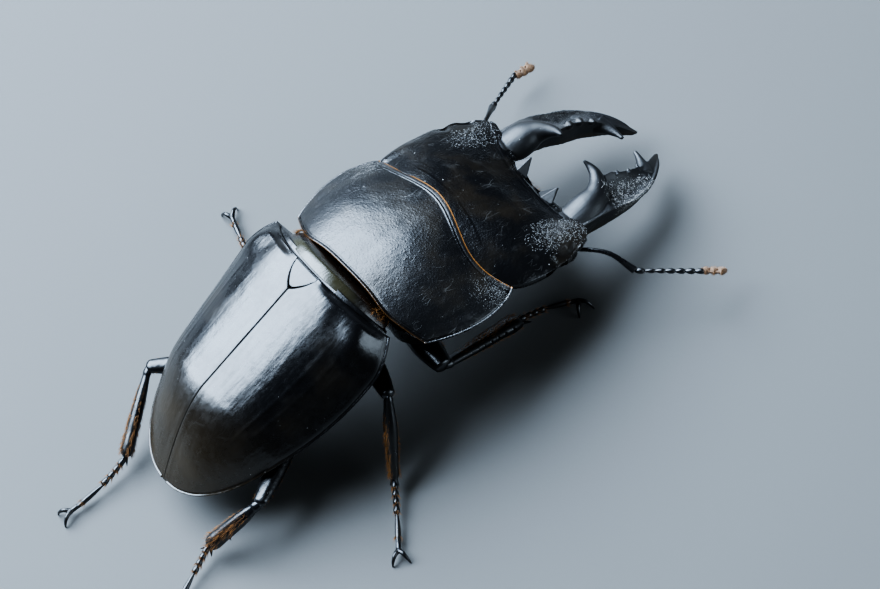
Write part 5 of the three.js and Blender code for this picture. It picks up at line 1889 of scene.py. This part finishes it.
class BEETLE_OT_legs(BeetleStep, bpy.types.Operator):
    """Build hips, thighs, shins, foot joints and claws of the six legs"""

    bl_idname = "beetle.legs"
    bl_label = "Legs"

    def build(self, sizes, scene):
        for leg in LEGS:
            piece(f"hip_{leg}", hip(leg), FLOOR, "limb", [f"coxa_{leg}"])
            piece(f"thigh_{leg}", ring_shell(thigh(leg)), FLOOR, "limb", [f"femur_{leg}"])
            piece(f"shin_{leg}", shin(leg, sizes), FLOOR, "limb", [f"tibia_{leg}"])
            self.foot(leg)
            piece(f"claw_pair_{leg}", claw_pair(leg, sizes), FLOOR, "limb", [f"claws_{leg}"])

    def foot(self, leg):
        steps = 300
        path = foot_path(leg, steps)
        length = np.linalg.norm(np.diff(path, axis=0), axis=1).sum()
        begin, end, girth = np.array(FOOT_JOINTS).T
        middle = (begin + end) / 2
        i = np.clip((steps * middle).astype(int), 0, steps - 1)
        lean = unit(np.gradient(path, axis=0))[i]
        mesh = link_points(path[i], lean, girth, (end - begin) * length * 0.58, middle)
        grown("links", f"foot_{leg}", mesh, "limb", "gloss_shell", [f"tarsus_{leg}"], Flare=0.3)


class BEETLE_OT_grains(BeetleStep, bpy.types.Operator):
    """Strew grains over the temples, the corners of the shield and the jaws"""

    bl_idname = "beetle.grains"
    bl_label = "Grains"

    def build(self, sizes, scene):
        hair = scene.beetle_hair
        fields = {
            "temple_grains": (temple_grains(sizes), HEAD, 1.0, "grain", "satin_shell"),
            "shield_grains": (shield_grains(sizes), THORAX, 0.8, "grain", "satin_shell"),
            # the right jaw's grains are the brighter copy of the painted sheen; the others are the darker
            # copy
            "jaw_grains_right": (jaw_grains(-1, sizes), HEAD, 0.75, "crumb", "gloss_shell"),
            "jaw_grains_left": (jaw_grains(1, sizes), HEAD, 0.6, "grain", "gloss_shell"),
        }
        for name, (field, place, scale, finish, slot) in fields.items():
            radius = hair.granule * scale
            grown(
                "grains", name, grain_skin(place, *field), finish, slot,
                Radius=radius, Spacing=radius * 1.7, Count=9.0e7, Flatness=0.5, Seed=hair.seed,
            )


class BEETLE_OT_bristles(BeetleStep, bpy.types.Operator):
    """Grow the fringes, the leg bristles, the down and the brushes"""

    bl_idname = "beetle.bristles"
    bl_label = "Bristles"

    def build(self, sizes, scene):
        hair = scene.beetle_hair
        for number, (name, row) in enumerate(HAIR_PIECES.items()):
            stand, place, radius, spread, bend = row
            draw = np.random.default_rng(hair.seed + number)
            grown(
                "bristles", name, bristle_roots(place, *stand(hair, draw)), "bristle", "club",
                Radius=hair.thickness * radius, Spread=spread, Bend=bend, Seed=hair.seed,
            )


# the ways from the beetle to the lights, and their colours
KEY_WAY, KEY_COLOUR = (0.61, 0.19, 0.77), (0.66, 0.81, 1.0)
FILL_WAY, FILL_COLOUR = (-0.8, -0.5, 0.3), (0.72, 0.86, 1.0)
ROOM_COLOUR = (0.62, 0.66, 0.7, 1)
# the key light is two panels, the smaller in the larger, for a soft edge: name, scale, share of the power
KEY_PANELS = (("key_light", 1.0, 0.6), ("key_edge", 1.25, 0.4))
CAMERA_PLACE = (-0.18806, 0.06064, 0.28487)  # metres
CAMERA_AXES = ((-0.5921, -0.7823, -0.1934), (0.6006, -0.5884, 0.5414), (-0.5373, 0.2044, 0.8182))


class BEETLE_OT_stage(BeetleStep, bpy.types.Operator):
    """Set the floor, the soft lights, the room light and the camera"""

    bl_idname = "beetle.stage"
    bl_label = "Stage"

    def build(self, sizes, scene):
        stage = scene.beetle_stage
        self.floor(scene.beetle_finish)
        for name, scale, part in KEY_PANELS:
            panel, distance = (0.5 * scale, 0.4 * scale), 0.42 * (1 + 0.02 * scale)
            self.soft_light(name, KEY_WAY, distance, panel, stage.key_power * part, KEY_COLOUR)
        self.soft_light("fill_light", FILL_WAY, 0.5, (0.3, 0.3), stage.fill_power, FILL_COLOUR)
        scene.view_settings.look = "AgX - High Contrast"
        world = bpy.data.worlds.new("room")
        world.use_nodes = True
        light = world.node_tree.nodes["Background"].inputs
        light["Color"].default_value, light["Strength"].default_value = ROOM_COLOUR, stage.sky
        scene.world = world
        self.camera(stage.lens)

    def floor(self, looks):
        material, shader, place = blank_finish("stage_floor")
        tone = place.noise(40, 3).between(0.2, 0.8)
        colour = tone.colours([c * 0.97 for c in looks.floor], looks.floor[:])
        dress(place, shader, colour, 0.75 + tone * 0.05, place.noise(0.5, 3), 0.00001)
        bpy.ops.mesh.primitive_plane_add(size=6)
        floor = bpy.context.object
        floor.name = "stage_floor"
        floor.data.materials.append(material)

    def soft_light(self, name, way, distance, panel, power, colour):
        """A flat lamp that faces the beetle."""
        data = bpy.data.lights.new(name, "AREA")
        data.shape, data.size, data.size_y = "RECTANGLE", *panel
        data.energy, data.color = power, colour
        lamp = linked(name, data)
        toward = unit(np.array(way))
        lamp.location = toward * distance
        lamp.rotation_euler = Matrix(look_axes(toward, (0, 0, 1))).to_euler()

    def camera(self, lens):
        data = bpy.data.cameras.new("camera")
        data.lens, data.sensor_width = lens, 36
        data.clip_start, data.clip_end = 0.01, 20
        view = linked("camera", data)
        turn = Matrix(np.array(CAMERA_AXES).T.tolist())
        view.matrix_world = Matrix.Translation(CAMERA_PLACE) @ turn.to_4x4()
        bpy.context.scene.camera = view


def look_axes(back, up):
    """Rows of a turn whose own Z points along back."""
    back = unit(np.asarray(back, float))
    right = unit(np.cross(np.asarray(up, float), back))
    return np.array([right, np.cross(back, right), back]).T.tolist()


class BEETLE_PT_panel(bpy.types.Panel):
    """Sizes and building steps of the beetle"""

    bl_label = "Stag beetle"
    bl_idname = "BEETLE_PT_panel"
    bl_space_type = "VIEW_3D"
    bl_region_type = "UI"
    bl_category = "Beetle"

    def draw(self, context):
        for group in ("beetle_sizes", "beetle_hair", "beetle_finish", "beetle_stage"):
            box = self.layout.box()
            settings = getattr(context.scene, group)
            for key in settings.bl_rna.properties.keys():
                if key not in {"rna_type", "name"}:
                    box.prop(settings, key)
        for step in STEPS:
            self.layout.operator(step.bl_idname)


GROUPS = {
    "beetle_sizes": BeetleSizes,
    "beetle_hair": BeetleHair,
    "beetle_finish": BeetleFinish,
    "beetle_stage": BeetleStage,
}
STEPS = (
    BEETLE_OT_wing_cases,
    BEETLE_OT_trunk,
    BEETLE_OT_prothorax,
    BEETLE_OT_head,
    BEETLE_OT_jaws,
    BEETLE_OT_feelers,
    BEETLE_OT_legs,
    BEETLE_OT_grains,
    BEETLE_OT_bristles,
    BEETLE_OT_stage,
)


def register():
    for cls in (*GROUPS.values(), *STEPS, BEETLE_PT_panel):
        bpy.utils.register_class(cls)
    for name, cls in GROUPS.items():
        setattr(bpy.types.Scene, name, PointerProperty(type=cls))


def unregister():
    for name in GROUPS:
        delattr(bpy.types.Scene, name)
    for cls in (BEETLE_PT_panel, *reversed(STEPS), *GROUPS.values()):
        bpy.utils.unregister_class(cls)


def main():
    register()
    for step in STEPS:
        group, name = step.bl_idname.split(".")
        getattr(getattr(bpy.ops, group), name)()


if __name__ == "__main__":
    main()
